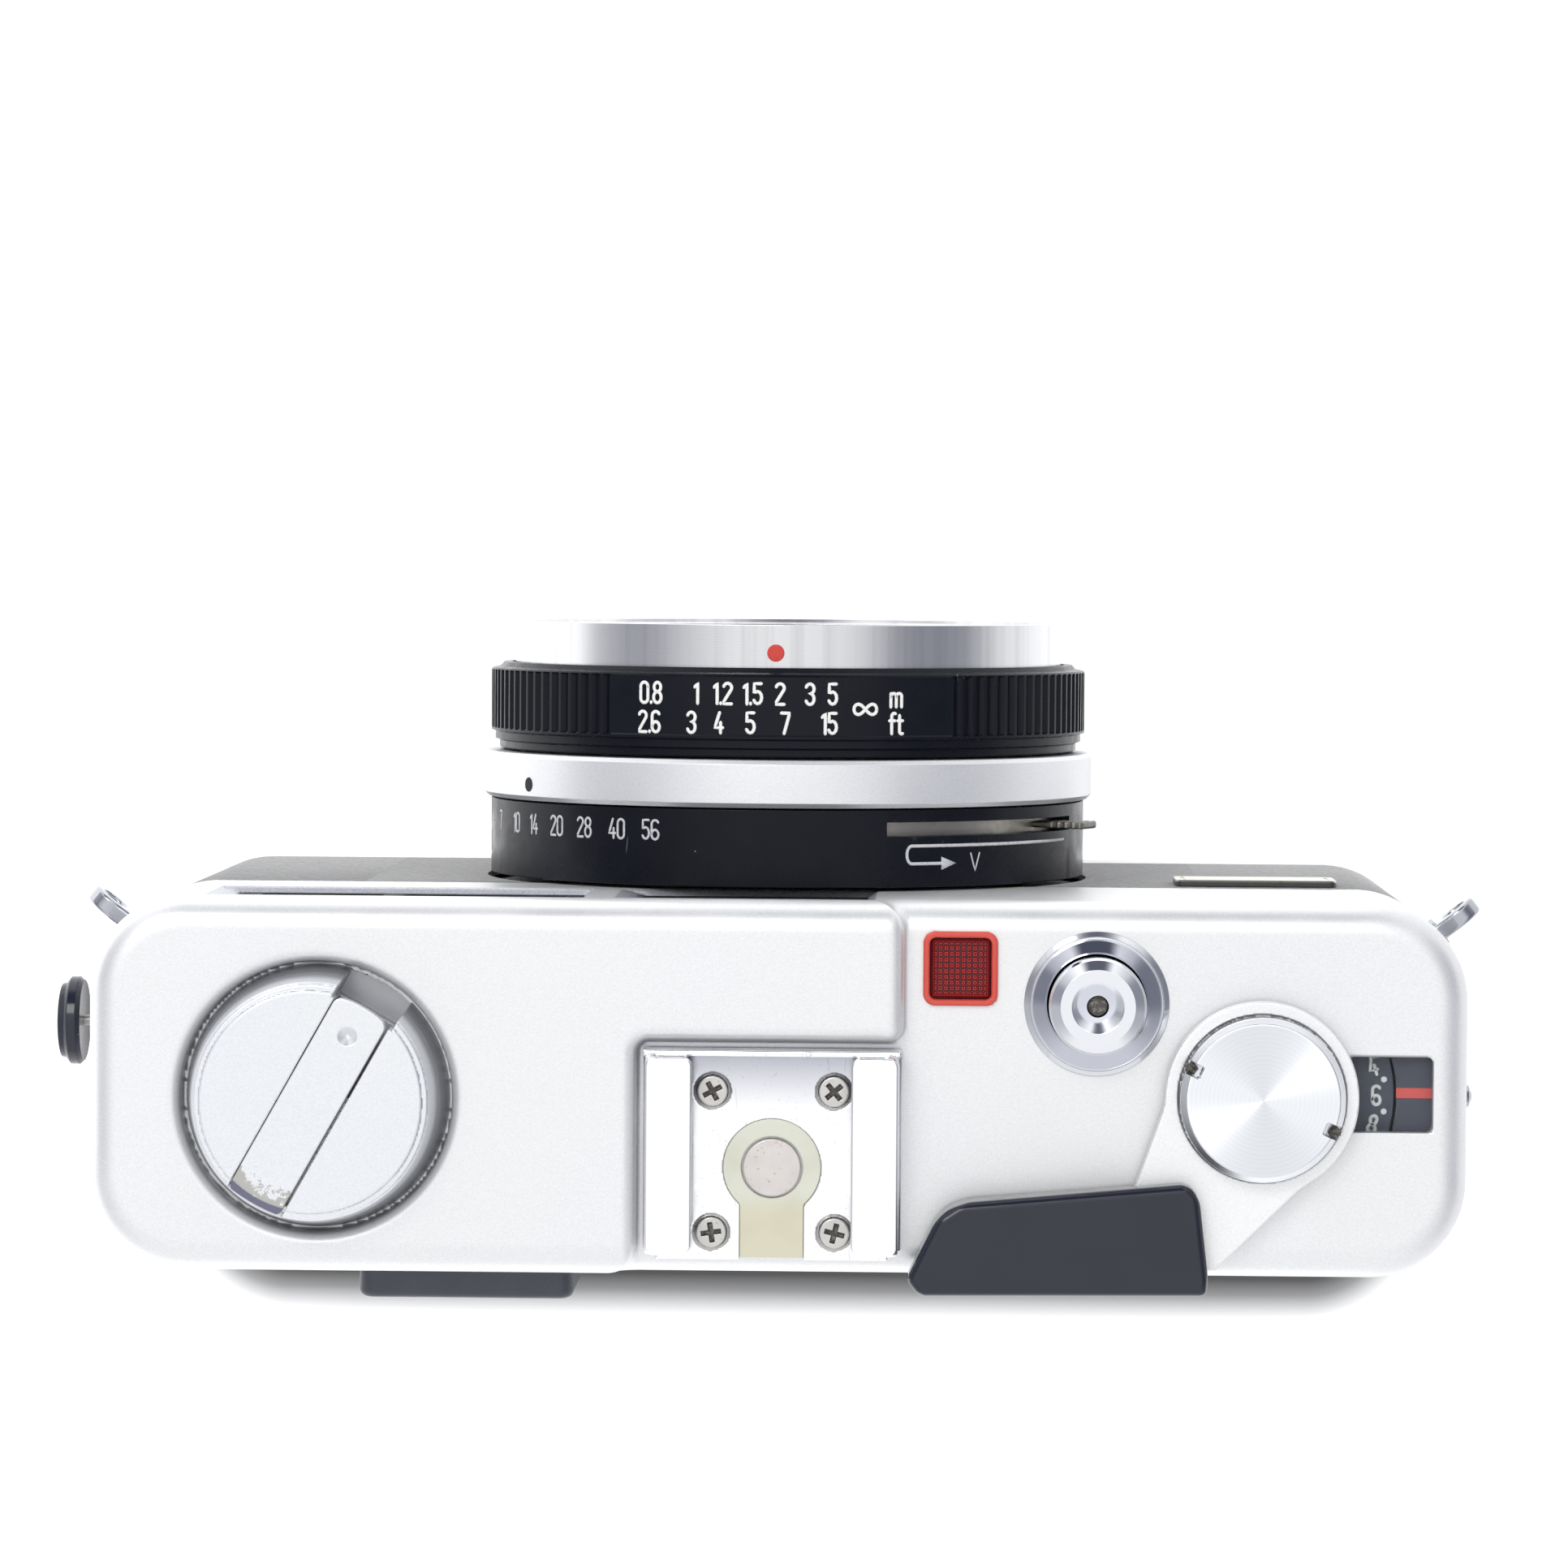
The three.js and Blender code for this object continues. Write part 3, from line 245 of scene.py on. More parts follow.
# ---- Materials ----
class Look(Nodes):
    """A Principled material with procedural colour, roughness and bump. Sizes are in mm."""

    def __init__(self, name, color, metallic=0.0, roughness=0.5, **sockets):
        self.material = bpy.data.materials.new(name)
        self.material.use_nodes = True
        super().__init__(self.material.node_tree)
        self.shader = self.tree.nodes["Principled BSDF"]
        self.coords = self.tree.nodes.new("ShaderNodeTexCoord").outputs["Object"]
        self.color = (*color, 1)
        self.set("Base Color", self.color)
        self.set("Metallic", metallic)
        self.set("Roughness", roughness)
        for socket, value in sockets.items():
            self.set(socket.replace("_", " "), value)
        self.normal = None

    def set(self, socket, value):
        self.shader.inputs[socket].default_value = value

    def mapped(self, stretch=(1, 1, 1), turn=(0, 0, 0), shift=(0, 0, 0)):
        node = self.node("ShaderNodeMapping")
        node.inputs["Scale"].default_value = stretch
        node.inputs["Rotation"].default_value = [math.radians(a) for a in turn]
        node.inputs["Location"].default_value = shift
        self.link(self.coords, node.inputs["Vector"])
        return node.outputs["Vector"]

    def axis(self, name, place=None):
        split = self.node("ShaderNodeSeparateXYZ")
        self.link(self.coords if place is None else place, split.inputs["Vector"])
        return split.outputs[name]

    def noise(self, size, detail=3.0, rough=0.5, stretch=(1, 1, 1)):
        node = self.node("ShaderNodeTexNoise")
        node.inputs["Scale"].default_value = 1000 / size
        node.inputs["Detail"].default_value = detail
        node.inputs["Roughness"].default_value = rough
        self.link(self.mapped(stretch), node.inputs["Vector"])
        return node.outputs["Fac"]

    def cells(self, size, feature="F1", stretch=(1, 1, 1), turn=(0, 0, 0), jitter=1.0):
        node = self.node("ShaderNodeTexVoronoi", feature=feature)
        node.inputs["Scale"].default_value = 1000 / size
        node.inputs["Randomness"].default_value = jitter
        self.link(self.mapped(stretch, turn), node.inputs["Vector"])
        return node.outputs["Distance"]

    def vary_color(self, a, b, fac):
        self.base(self.mix(a, b, fac))

    def base(self, output):
        self.color = output
        self.link(output, self.shader.inputs["Base Color"])

    def stain(self, color, fac):
        """Lays a colour over the base where fac is 1."""
        self.base(self.mix(self.color, color, fac))

    def rough(self, value, low, high, out_low, out_high):
        self.link(self.step(value, low, high, out_low, out_high), self.shader.inputs["Roughness"])

    def bump(self, height, strength, depth):
        node = self.node("ShaderNodeBump")
        node.inputs["Strength"].default_value = strength
        node.inputs["Distance"].default_value = depth * MM
        self.link(height, node.inputs["Height"])
        if self.normal is not None:
            self.link(self.normal, node.inputs["Normal"])
        self.normal = node.outputs["Normal"]
        self.link(self.normal, self.shader.inputs["Normal"])

    def specks(self, size, spread, share, amount=1):
        """1 inside small scattered spots: size across, about spread apart."""
        spots = self.step(self.cells(spread), size / spread * 0.5, size / spread * 0.28)
        patches = self.step(self.noise(spread * 3.1, detail=2), 1 - share, 1.02 - share)
        return self.step(self.times(spots, patches), 0, 1, 0, amount)

    def scratches(self, length, turn, share, amount):
        """1 along fine straight lines lying across the given turn."""
        lines = self.cells(length, "DISTANCE_TO_EDGE", stretch=(1, 0.09, 0.5), turn=(0, 0, turn))
        thin = self.step(lines, 0.012, 0.003)
        patches = self.step(self.noise(length * 1.7, detail=1), 1 - share, 1.05 - share)
        return self.step(self.times(thin, patches), 0, 1, 0, amount)

    def edges(self, low=0.52, high=0.6):
        """1 on convex edges, where a finish wears."""
        geometry = self.node("ShaderNodeNewGeometry")
        return self.step(geometry.outputs["Pointiness"], low, high)


def shade(color, gain, lift=0.0):
    return tuple(min(1, c * gain + lift) for c in color)


def satin_silver(name, tint=(0.79, 0.795, 0.805), rough=0.38):
    look = Look(name, tint, metallic=0.6, roughness=rough)
    grain = look.noise(0.16, detail=2, rough=0.6)
    light = shade(tint, 1.045)
    dark = shade(tint, 0.94)
    look.vary_color(dark, light, look.step(grain, 0.3, 0.7))
    look.stain((0.80, 0.79, 0.75), look.step(look.noise(34, detail=2), 0.5, 0.75, 0, 0.35))
    look.stain((0.10, 0.095, 0.09), look.specks(0.16, 3.6, 0.42))
    look.stain((0.42, 0.41, 0.40), look.specks(0.10, 1.9, 0.30))
    look.rough(look.noise(9, detail=4), 0.3, 0.7, rough - 0.04, rough + 0.06)
    look.bump(grain, 0.10, 0.02)
    return look


def turned_metal(name, color, rough, center, axis, pitch=0.11, strength=0.05, spun=0.0,
        streaky=0.6):
    """Bright metal with the fine rings that a lathe leaves about an axis."""
    look = Look(name, color, metallic=1.0, roughness=rough, Anisotropic=spun)
    place = look.mapped(shift=[-c * MM for c in center])
    across = [look.axis(a, place) for a in "XYZ" if a != axis]
    squares = [look.times(a, a) for a in across]
    radius = look.math("SQRT", look.math("ADD", *squares), 0)
    along = radius if axis == "Z" else look.axis(axis, place)
    rings = look.math("SINE", look.times(along, 2 * math.pi / (pitch * MM)), 0.0)
    uneven = look.noise(0.9, detail=3, rough=0.7)
    look.bump(look.times(rings, uneven), strength, 0.01)
    look.stain(shade(color, 0.86), look.step(rings, 0, 1, 0, 0.25))
    along_axis = tuple(0.015 if a == axis else 1 for a in "XYZ")
    streaks = look.noise(1.3, detail=5, rough=0.6, stretch=along_axis)
    look.stain(shade(color, 0.72), look.step(streaks, 0.45, 0.75, 0, streaky))
    look.stain((0.12, 0.11, 0.10), look.specks(0.12, 2.4, 0.34))
    if spun:
        tangent = look.node("ShaderNodeTangent", direction_type="RADIAL", axis=axis)
        look.link(tangent.outputs["Tangent"], look.shader.inputs["Tangent"])
    return look


def chrome(name, color=(0.86, 0.87, 0.89), rough=0.09):
    look = Look(name, color, metallic=1.0, roughness=rough)
    look.rough(look.noise(3.2, detail=5, rough=0.65), 0.35, 0.75, rough * 0.7, rough * 2.2)
    look.stain((0.30, 0.29, 0.28), look.specks(0.2, 2.2, 0.38))
    look.stain((0.55, 0.55, 0.56), look.scratches(2.6, 62, 0.4, amount=0.6))
    look.bump(look.noise(0.7, detail=3), 0.035, 0.02)
    return look


def black_enamel(name, color=(0.005, 0.006, 0.010), rough=0.24, wear=0.5, gloss=0.14):
    look = Look(name, color, metallic=0.0, roughness=rough, Specular_IOR_Level=gloss)
    look.vary_color(color, shade(color, 1.5, 0.001), look.noise(3.1, detail=3))
    look.stain((0.45, 0.43, 0.40), look.specks(0.13, 1.5, 0.40, amount=0.3 + wear))
    low_dust = look.step(look.noise(0.22, detail=3, rough=0.75), 0.62, 0.72)
    patches = look.step(look.noise(7, detail=3), 0.56, 0.76, 0, 0.5 * wear)
    look.stain((0.30, 0.28, 0.26), look.times(low_dust, patches))
    look.stain((0.33, 0.33, 0.34), look.scratches(3.1, 20, 0.30, amount=0.35))
    worn = look.times(look.edges(0.56, 0.66), look.step(look.noise(1.3, 4), 0.56, 0.68))
    look.stain((0.35, 0.34, 0.32), look.step(worn, 0, 1, 0, wear))
    look.rough(look.noise(1.9, detail=4), 0.3, 0.75, rough * 0.8, rough * 1.5)
    look.bump(look.noise(0.35, detail=3), 0.06, 0.02)
    return look


def gloss_plastic(name, color, rough=0.2, gloss=0.5):
    look = Look(name, color, roughness=rough, Specular_IOR_Level=gloss)
    look.vary_color(color, shade(color, 1.35, 0.002), look.noise(5, detail=3))
    look.stain((0.35, 0.35, 0.36), look.specks(0.12, 2.6, 0.36, amount=0.8))
    look.stain((0.10, 0.10, 0.12), look.scratches(4.2, -28, 0.32, amount=0.3))
    look.rough(look.noise(2.8, detail=4), 0.3, 0.75, rough * 0.7, rough * 1.4)
    look.bump(look.noise(0.55, detail=2), 0.05, 0.03)
    return look


def leatherette(name, color=(0.022, 0.022, 0.023)):
    look = Look(name, color, roughness=0.55, Sheen_Weight=0.6, Sheen_Roughness=0.45)
    pebbles = look.cells(0.62, "SMOOTH_F1", jitter=0.85)
    creases = look.step(look.cells(1.5, "DISTANCE_TO_EDGE"), 0.0, 0.14)
    height = look.times(look.step(pebbles, 0.05, 0.6, 1, 0), creases)
    # Painted shade on the grain: darker down in the creases, lighter on the pebble tops.
    look.vary_color(shade(color, 0.6), shade(color, 1.9, 0.004), height)
    look.stain((0.20, 0.19, 0.17), look.specks(0.16, 1.9, 0.36, amount=0.6))
    look.rough(height, 0, 1, 0.66, 0.42)
    look.bump(height, 0.75, 0.16)
    look.bump(look.noise(0.12, detail=2), 0.15, 0.02)
    return look


def plain_metal(name, color, rough, size=0.5, metallic=1.0):
    look = Look(name, color, metallic=metallic, roughness=rough)
    look.vary_color(shade(color, 0.85), shade(color, 1.1), look.noise(size * 4, detail=5))
    look.stain((0.16, 0.14, 0.12), look.step(look.noise(size * 1.3, detail=3), 0.66, 0.72, 0, 0.5))
    look.rough(look.noise(size * 2, detail=4), 0.3, 0.75, rough * 0.8, rough * 1.35)
    look.bump(look.noise(size * 0.5, detail=3), 0.12, 0.02)
    return look


def coated_glass(name, tint, rough=0.02, sheen=(0.16, 0.12, 0.30)):
    """Glass over a dark inside: a deep tint with a coloured coating glint."""
    look = Look(name, tint, roughness=rough, Coat_Weight=1.0, Coat_Roughness=0.02, IOR=1.52)
    facing = look.node("ShaderNodeLayerWeight")
    facing.inputs["Blend"].default_value = 0.35
    look.vary_color(tint, sheen, facing.outputs["Facing"])
    look.rough(look.noise(3, detail=4), 0.4, 0.8, rough, rough * 4)
    look.stain((0.30, 0.30, 0.30), look.specks(0.1, 2.6, 0.36, amount=0.4))
    return look


def clear_glass(name, tint=(0.92, 0.94, 0.95)):
    look = Look(name, tint, roughness=0.03, Transmission_Weight=1.0, IOR=1.2)
    look.rough(look.noise(2.4, detail=4), 0.4, 0.8, 0.02, 0.08)
    return look


def knob_paint():
    """Satin paint, painted darker down the sides: painted shade where the knob sits in its well."""
    look = satin_silver("satin_silver_knob", (0.76, 0.775, 0.80), 0.34)
    # Painted shade: darker below z 70.4 mm, fading out by 71.6 mm.
    look.stain((0.17, 0.17, 0.19), look.step(look.axis("Z"), 70.4 * MM, 71.6 * MM, 0.55, 0))
    return look


def cover_paint():
    """Satin paint with painted shade: darker and bluer on the sloped sides of the front recesses.
    """
    look = satin_silver("satin_silver_cover")
    inside = look.step(look.axis("Y"), (0.04 - HALF_Y) * MM, (0.08 - HALF_Y) * MM)
    for axis, edge, past in (("Y", -13.0, -13.1), ("Z", 52.4, 52.6), ("Z", 66.4, 66.2),
            ("X", -8.6, -8.4), ("X", 48.2, 48.0)):
        inside = look.times(inside, look.step(look.axis(axis), edge * MM, past * MM))
    grain = look.noise(0.2, detail=3, rough=0.7)
    # Painted shade inside the recesses, mottled by the grain.
    look.stain((0.33, 0.35, 0.42), look.times(inside, look.step(grain, 0.25, 0.6, 0.9, 0.45)))
    return look


def badge_metal():
    """A cream-silver face with painted shade on its upper side and on the edges behind the face."""
    look = plain_metal("badge_silver", (0.80, 0.78, 0.70), 0.4, 0.3, metallic=0.5)
    # Painted shade on the upper side.
    look.stain((0.03, 0.03, 0.03), look.step(look.axis("Z"), 43.3 * MM, 43.5 * MM, 0, 0.85))
    # Painted shade on the edges behind the face.
    look.stain((0.05, 0.05, 0.05), look.step(look.axis("Y"), -15.84 * MM, -15.80 * MM, 0, 0.8))
    return look


def worn_contact():
    look = plain_metal("worn_contact", (0.66, 0.625, 0.60), 0.42, 0.35, metallic=0.6)
    spots = look.step(look.noise(0.42, detail=5, rough=0.75), 0.60, 0.68)
    look.stain((0.40, 0.31, 0.16), look.times(spots, look.step(look.noise(2.4), 0.42, 0.56)))
    look.stain((0.06, 0.055, 0.05), look.specks(0.16, 1.3, 0.5))
    return look


def shoe_chrome():
    """Polished plate with painted light: its raised flaps are painted brighter than its floor, and
    its floor just behind the front lip carries painted shade.
    """
    look = chrome("chrome_shoe", (0.92, 0.922, 0.935), 0.15)
    patches = look.noise(0.3, detail=4, rough=0.7)
    look.stain((0.40, 0.39, 0.37), look.step(patches, 0.62, 0.70, 0, 0.4))
    flaps = look.step(look.axis("Z"), 70.3 * MM, 70.45 * MM)
    near_lip = look.step(look.axis("Y"), -2.6 * MM, 1.6 * MM, 0.62, 0)
    low = look.step(look.axis("Z"), 68.2 * MM, 68.0 * MM)
    # Painted shade on the floor just behind the front lip.
    look.stain((0.17, 0.18, 0.27), look.times(near_lip, low))
    # Painted highlight on the raised flaps.
    look.stain((0.93, 0.935, 0.94), look.step(flaps, 0, 1, 0, 0.85))
    return look


def lamp_window_plastic():
    look = Look("lamp_window_plastic", (0.20, 0.012, 0.016), roughness=0.10,
        Specular_IOR_Level=0.45)
    look.set("Subsurface Radius", (1.0, 0.2, 0.1))
    # Painted light on the grid: the stud tops painted bright red, the grooves and border dark red.
    raised = look.times(look.step(look.axis("Z"), 66.74 * MM, 66.84 * MM),
        look.step(look.axis("Z"), 66.97 * MM, 66.91 * MM))
    look.vary_color((0.085, 0.004, 0.010), (0.42, 0.022, 0.020), raised)
    look.bump(look.noise(0.3, detail=3), 0.08, 0.02)
    return look


def painted(name, color, dark):
    look = Look(name, color, roughness=0.45)
    look.vary_color(color, dark, look.step(look.noise(0.3, detail=3), 0.5, 0.75))
    look.bump(look.noise(0.14, detail=2), 0.2, 0.02)
    return look


def cream_plastic():
    look = Look("ivory_insulator", (0.66, 0.64, 0.52), roughness=0.36, Specular_IOR_Level=0.3)
    tongue = look.step(look.axis("Y"), 8.6 * MM, 10.2 * MM)
    look.vary_color((0.69, 0.70, 0.60), (0.66, 0.63, 0.48), tongue)
    look.stain((0.56, 0.53, 0.40), look.step(look.noise(4.2, detail=3), 0.5, 0.8, 0, 0.5))
    look.stain((0.35, 0.30, 0.22), look.specks(0.12, 1.6, 0.3, amount=0.6))
    look.bump(look.noise(0.4, detail=3), 0.08, 0.02)
    return look


def lamp_plastic(name, color, rough):
    look = Look(name, color, roughness=rough, Subsurface_Weight=0.3, Subsurface_Scale=0.0008)
    look.set("Subsurface Radius", (1.0, 0.2, 0.1))
    look.vary_color(color, shade(color, 0.8), look.noise(0.9, detail=4))
    look.stain((0.75, 0.55, 0.5), look.specks(0.1, 1.5, 0.3, amount=0.6))
    look.bump(look.noise(0.3, detail=3), 0.1, 0.02)
    return look


def crank_paint():
    """The crank's paint, worn through to dark steel at its rolled end."""
    look = satin_silver("satin_silver_crank", (0.76, 0.775, 0.80), 0.34)
    place = look.node("ShaderNodeVectorMath", operation="DOT_PRODUCT")
    place.inputs[1].default_value = (*CRANK_DIRECTION, 0)
    look.link(look.coords, place.inputs[0])
    middle = (REWIND[0] * CRANK_DIRECTION[0] + REWIND[1] * CRANK_DIRECTION[1]) * MM
    along = look.math("SUBTRACT", place.outputs["Value"], middle)
    reach = look.node("ShaderNodeVectorMath", operation="DISTANCE")
    reach.inputs[1].default_value = (REWIND[0] * MM, REWIND[1] * MM, (KNOB_TOP - 0.4) * MM)
    look.link(look.coords, reach.inputs[0])
    near_end = look.step(along, -5.8 * MM, -8.9 * MM, 0, 0.36)
    chips = look.step(look.math("ADD", near_end, look.noise(1.1, detail=5, rough=0.7)), 0.72, 0.76)
    look.stain((0.40, 0.39, 0.36), look.step(chips, 0, 1, 0, 0.85))
    band = look.step(reach.outputs["Value"], 8.85 * MM, 8.98 * MM)
    look.stain((0.13, 0.13, 0.20), look.times(band, look.step(along, -5 * MM, -6 * MM)))
    return look


def make_finishes():
    looks = dict(
        cover=cover_paint(),
        lever=satin_silver("satin_silver_lever", (0.86, 0.865, 0.87), 0.42),
        knob=knob_paint(),
        collar=chrome("chrome_collar", (0.66, 0.67, 0.71), 0.06),
        cap=turned_metal("spun_aluminium", (0.82, 0.835, 0.86), 0.34, (*HUB, 0), "Z", 0.36, 0.05,
            0.9, 0.0),
        barrel=turned_metal("barrel_aluminium", (0.70, 0.70, 0.715), 0.22, (LENS_X, 0, LENS_Z),
            "Y", 0.22, 0.05, 0.6),
        liner=plain_metal("slot_liner_metal", (0.40, 0.38, 0.34), 0.36, 0.3),
        badge=badge_metal(),
        index=satin_silver("index_aluminium", (0.78, 0.79, 0.81), 0.38),
        chrome=chrome("chrome_plate"),
        shoe=shoe_chrome(),
        button=chrome("chrome_button", (0.78, 0.79, 0.83), 0.07),
        lug=chrome("chrome_lug", (0.44, 0.45, 0.49), 0.08),
        steel=plain_metal("nickel_steel", (0.60, 0.585, 0.56), 0.36, 0.3),
        dull=plain_metal("dull_steel", (0.24, 0.23, 0.21), 0.45, 0.3),
        contact=worn_contact(),
        cast=plain_metal("cast_alloy", (0.16, 0.165, 0.17), 0.55, 0.8),
        brass=plain_metal("turned_brass", (0.62, 0.45, 0.20), 0.3, 0.6),
        enamel=black_enamel("black_enamel"),
        matt_black=black_enamel("matt_black", (0.014, 0.014, 0.016), 0.55, 0.3, 0.25),
        tip=gloss_plastic("navy_black_plastic", (0.012, 0.014, 0.025), 0.14, 0.45),
        frame_plastic=gloss_plastic("slate_plastic", (0.052, 0.055, 0.070), 0.34, 0.3),
        leather=leatherette("grip_leatherette"),
        lens_glass=coated_glass("coated_lens", (0.010, 0.009, 0.020), 0.015, (0.10, 0.05, 0.22)),
        window_glass=coated_glass("finder_glass", (0.010, 0.012, 0.014), 0.02, (0.06, 0.08, 0.10)),
        cell=coated_glass("light_cell_window", (0.16, 0.09, 0.03), 0.05, (0.30, 0.25, 0.12)),
        clear=clear_glass("counter_glass"),
        dial=gloss_plastic("dial_grey", (0.085, 0.090, 0.115), 0.4, 0.2),
        white_paint=painted("white_paint", (0.90, 0.90, 0.87), (0.80, 0.80, 0.77)),
        grey_paint=painted("grey_paint", (0.62, 0.62, 0.64), (0.42, 0.42, 0.48)),
        red_paint=painted("red_paint", (0.66, 0.045, 0.030), (0.50, 0.04, 0.03)),
        coral_paint=painted("coral_paint", (0.85, 0.12, 0.10), (0.78, 0.10, 0.09)),
        cream=cream_plastic(),
        lamp_rim=lamp_plastic("lamp_rim_plastic", (0.70, 0.085, 0.058), 0.36),
        lamp=lamp_window_plastic(),
        # Dark fill: real grime in the lever cap's notches, painted shade in the screw crosses, a
        # dark fill in the release button's bore.
        grime_and_shade=painted("grime_and_painted_shade", (0.07, 0.062, 0.055), (0.26, 0.25, 0.23)),
        crank=crank_paint(),
    )
    return {key: look.material for key, look in looks.items()}


# ---- Distance fields: negative inside, in mm ----
def corner(a, b, r=0.0):
    """What both solids share, its outer edge rounded to r."""
    u, v = a + r, b + r
    outside = hypot(maximum(u, 0), maximum(v, 0))
    return outside + minimum(maximum(u, v), 0) - r


def join(a, b, r=0.0):
    """Both solids together, the inner corner between them filled to r."""
    return -corner(-a, -b, r)


def cut(a, b, r=0.0):
    """The first solid less the second, the new edge rounded to r."""
    return corner(a, -b, r)


def span(v, low, high):
    return np.abs(v - (low + high) / 2) - (high - low) / 2


def rect(u, v, u0, u1, v0, v1, r=0.0):
    return corner(span(u, u0, u1), span(v, v0, v1), r)


def around(u, v, center, half_u, half_v, r=0.0):
    """A rectangle about a centre."""
    return corner(np.abs(u - center[0]) - half_u, np.abs(v - center[1]) - half_v, r)


def disc(u, v, center, r):
    return hypot(u - center[0], v - center[1]) - r


def turned(u, v, center, angle):
    """Coordinates about a centre, along and across a direction."""
    du, dv = u - center[0], v - center[1]
    return du * math.cos(angle) + dv * math.sin(angle), dv * math.cos(angle) - du * math.sin(angle)


def slab(flat, z, z0, z1, top=0.0, bottom=0.0):
    """A flat shape given thickness from z0 to z1, with rounded upper and lower edges."""
    return corner(corner(flat, z - z1, top), z0 - z, bottom)


def convex(u, v, points, r=0.0):
    """A convex outline, its corners rounded to r."""
    middle = np.mean(points, axis=0)
    field = None
    for i, (u0, v0) in enumerate(points):
        u1, v1 = points[(i + 1) % len(points)]
        normal = np.array([v1 - v0, u0 - u1]) / math.hypot(u1 - u0, v1 - v0)
        if normal @ (middle - (u0, v0)) > 0:
            normal = -normal
        side = (u - u0) * normal[0] + (v - v0) * normal[1]
        field = side if field is None else corner(field, side, r)
    return field


def body_plan(x, y):
    return rect(x, y, -HALF_X, HALF_X, -HALF_Y, HALF_Y, CORNER_R)


# ---- Mesh makers ----
def add(mesh, finish, stands_for=None, body="camera_body", slot=None):
    """Puts a mesh in the scene as a piece that rides a body and may stand for a CAD node."""
    mesh.materials.clear()
    mesh.materials.append(finishes[finish])
    piece = bpy.data.objects.new(mesh.name, mesh)
    bpy.context.scene.collection.objects.link(piece)
    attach(piece, body)
    if stands_for:
        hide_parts(stands_for)
    slot or SLOTS[stands_for]
    return piece


def mesh_of(name, points, faces, normals=None, sharp=None):
    """A mesh from points in mm and lists of point numbers, turned outward."""
    mesh = bpy.data.meshes.new(name)
    points = np.asarray(points, float)
    corners = np.concatenate([np.asarray(f).ravel() for f in faces]).astype(np.int32)
    sizes = np.concatenate([np.full(len(f), np.asarray(f).shape[1]) for f in faces])
    starts = np.concatenate([[0], np.cumsum(sizes)[:-1]]).astype(np.int32)
    mesh.vertices.add(len(points))
    mesh.vertices.foreach_set("co", (points * MM).ravel())
    mesh.loops.add(len(corners))
    mesh.loops.foreach_set("vertex_index", corners)
    mesh.polygons.add(len(sizes))
    mesh.polygons.foreach_set("loop_start", starts)
    mesh.update(calc_edges=True)
    mesh.validate()
    if volume(mesh) < 0:
        mesh.flip_normals()
    mesh.shade_smooth()
    if normals is not None:
        mesh.normals_split_custom_set_from_vertices(normals)
    elif sharp is not None:
        mesh.set_sharp_from_angle(angle=math.radians(sharp))
    return mesh


def volume(mesh):
    mesh.calc_loop_triangles()
    co = np.zeros(len(mesh.vertices) * 3)
    mesh.vertices.foreach_get("co", co)
    tri = np.zeros(len(mesh.loop_triangles) * 3, np.int32)
    mesh.loop_triangles.foreach_get("vertices", tri)
    a, b, c = co.reshape(-1, 3)[tri.reshape(-1, 3)].transpose(1, 0, 2)
    return float(np.einsum("ij,ij->i", a, np.cross(b, c)).sum())


def sculpt(name, field, low, high, voxel):
    """The surface where field(x, y, z) is 0, with each point and normal taken from the field."""
    pad = 3 * voxel
    axes = [np.arange(a - pad, b + pad, voxel) for a, b in zip(low, high)]
    x, y, z = np.meshgrid(*axes, indexing="ij", sparse=True)
    shape = [len(a) for a in axes]
    values = np.broadcast_to(field(x, y, z), shape)
    grid = openvdb.FloatGrid(float(pad))
    grid.copyFromArray(np.clip(values, -pad, pad).astype(np.float32))
    points, _, quads = grid.convertToPolygons(0.0, 0.0)
    points = points.astype(float) * voxel + [a[0] for a in axes]
    for _ in range(2):
        distance, slope = field_slope(field, points)
        pull = np.clip(distance, -0.6 * voxel, 0.6 * voxel)
        points = points - slope * pull[:, None]
    _, slope = field_slope(field, points)
    return mesh_of(name, points, [quads], normals=slope)


def field_slope(field, points):
    eps = 0.01
    at = points.T
    slope = np.empty_like(points)
    for axis in range(3):
        step = np.zeros((3, 1))
        step[axis] = eps
        slope[:, axis] = field(*(at + step)) - field(*(at - step))
    slope /= maximum(np.linalg.norm(slope, axis=1, keepdims=True), 1e-9)
    return field(*at), slope


def soften(points, radius, steps=4, closed=True):
    """A profile with its corners rounded, as points and their outward directions."""
    out = []
    count = len(points)
    points = [Vector(p) for p in points]
    area = sum(a.x * b.y - b.x * a.y for a, b in zip(points, points[1:] + points[:1]))
    if area < 0:
        points.reverse()
    for i, point in enumerate(points):
        if not closed and i in (0, count - 1):
            other = points[1] if i == 0 else points[count - 2]
            along = (other - point) if i == 0 else (point - other)
            out.append((point, Vector((along.y, -along.x)).normalized()))
            continue
        back, ahead = points[i - 1] - point, points[(i + 1) % count] - point
        turn = math.pi - back.angle(ahead)
        reach = min(radius * math.tan(turn / 2), 0.45 * back.length, 0.45 * ahead.length)
        n0 = Vector((-back.y, back.x)).normalized()
        n1 = Vector((ahead.y, -ahead.x)).normalized()
        start, end = point + back.normalized() * reach, point + ahead.normalized() * reach
        for k in range(steps + 1):
            t = k / steps
            place = start * (1 - t) ** 2 + point * 2 * t * (1 - t) + end * t ** 2
            out.append((place, (n0 * (1 - t) + n1 * t).normalized()))
    places = [tuple(p) for p, _ in out]
    facing = [tuple(n) for _, n in out]
    return places, facing


def circle_path(center, axis, segments):
    """Stations round an axis: the centre, then the direction outward at each station."""
    angles = np.arange(segments) * 2 * math.pi / segments
    c, s = np.cos(angles), np.sin(angles)
    zero = np.zeros_like(c)
    outward = {"Z": (c, s, zero), "Y": (-s, zero, c), "X": (zero, c, s)}[axis]
    along = {"Z": (0, 0, 1), "Y": (0, 1, 0), "X": (1, 0, 0)}[axis]
    return np.tile(center, (segments, 1)), np.stack(outward, 1), np.array(along, float), angles


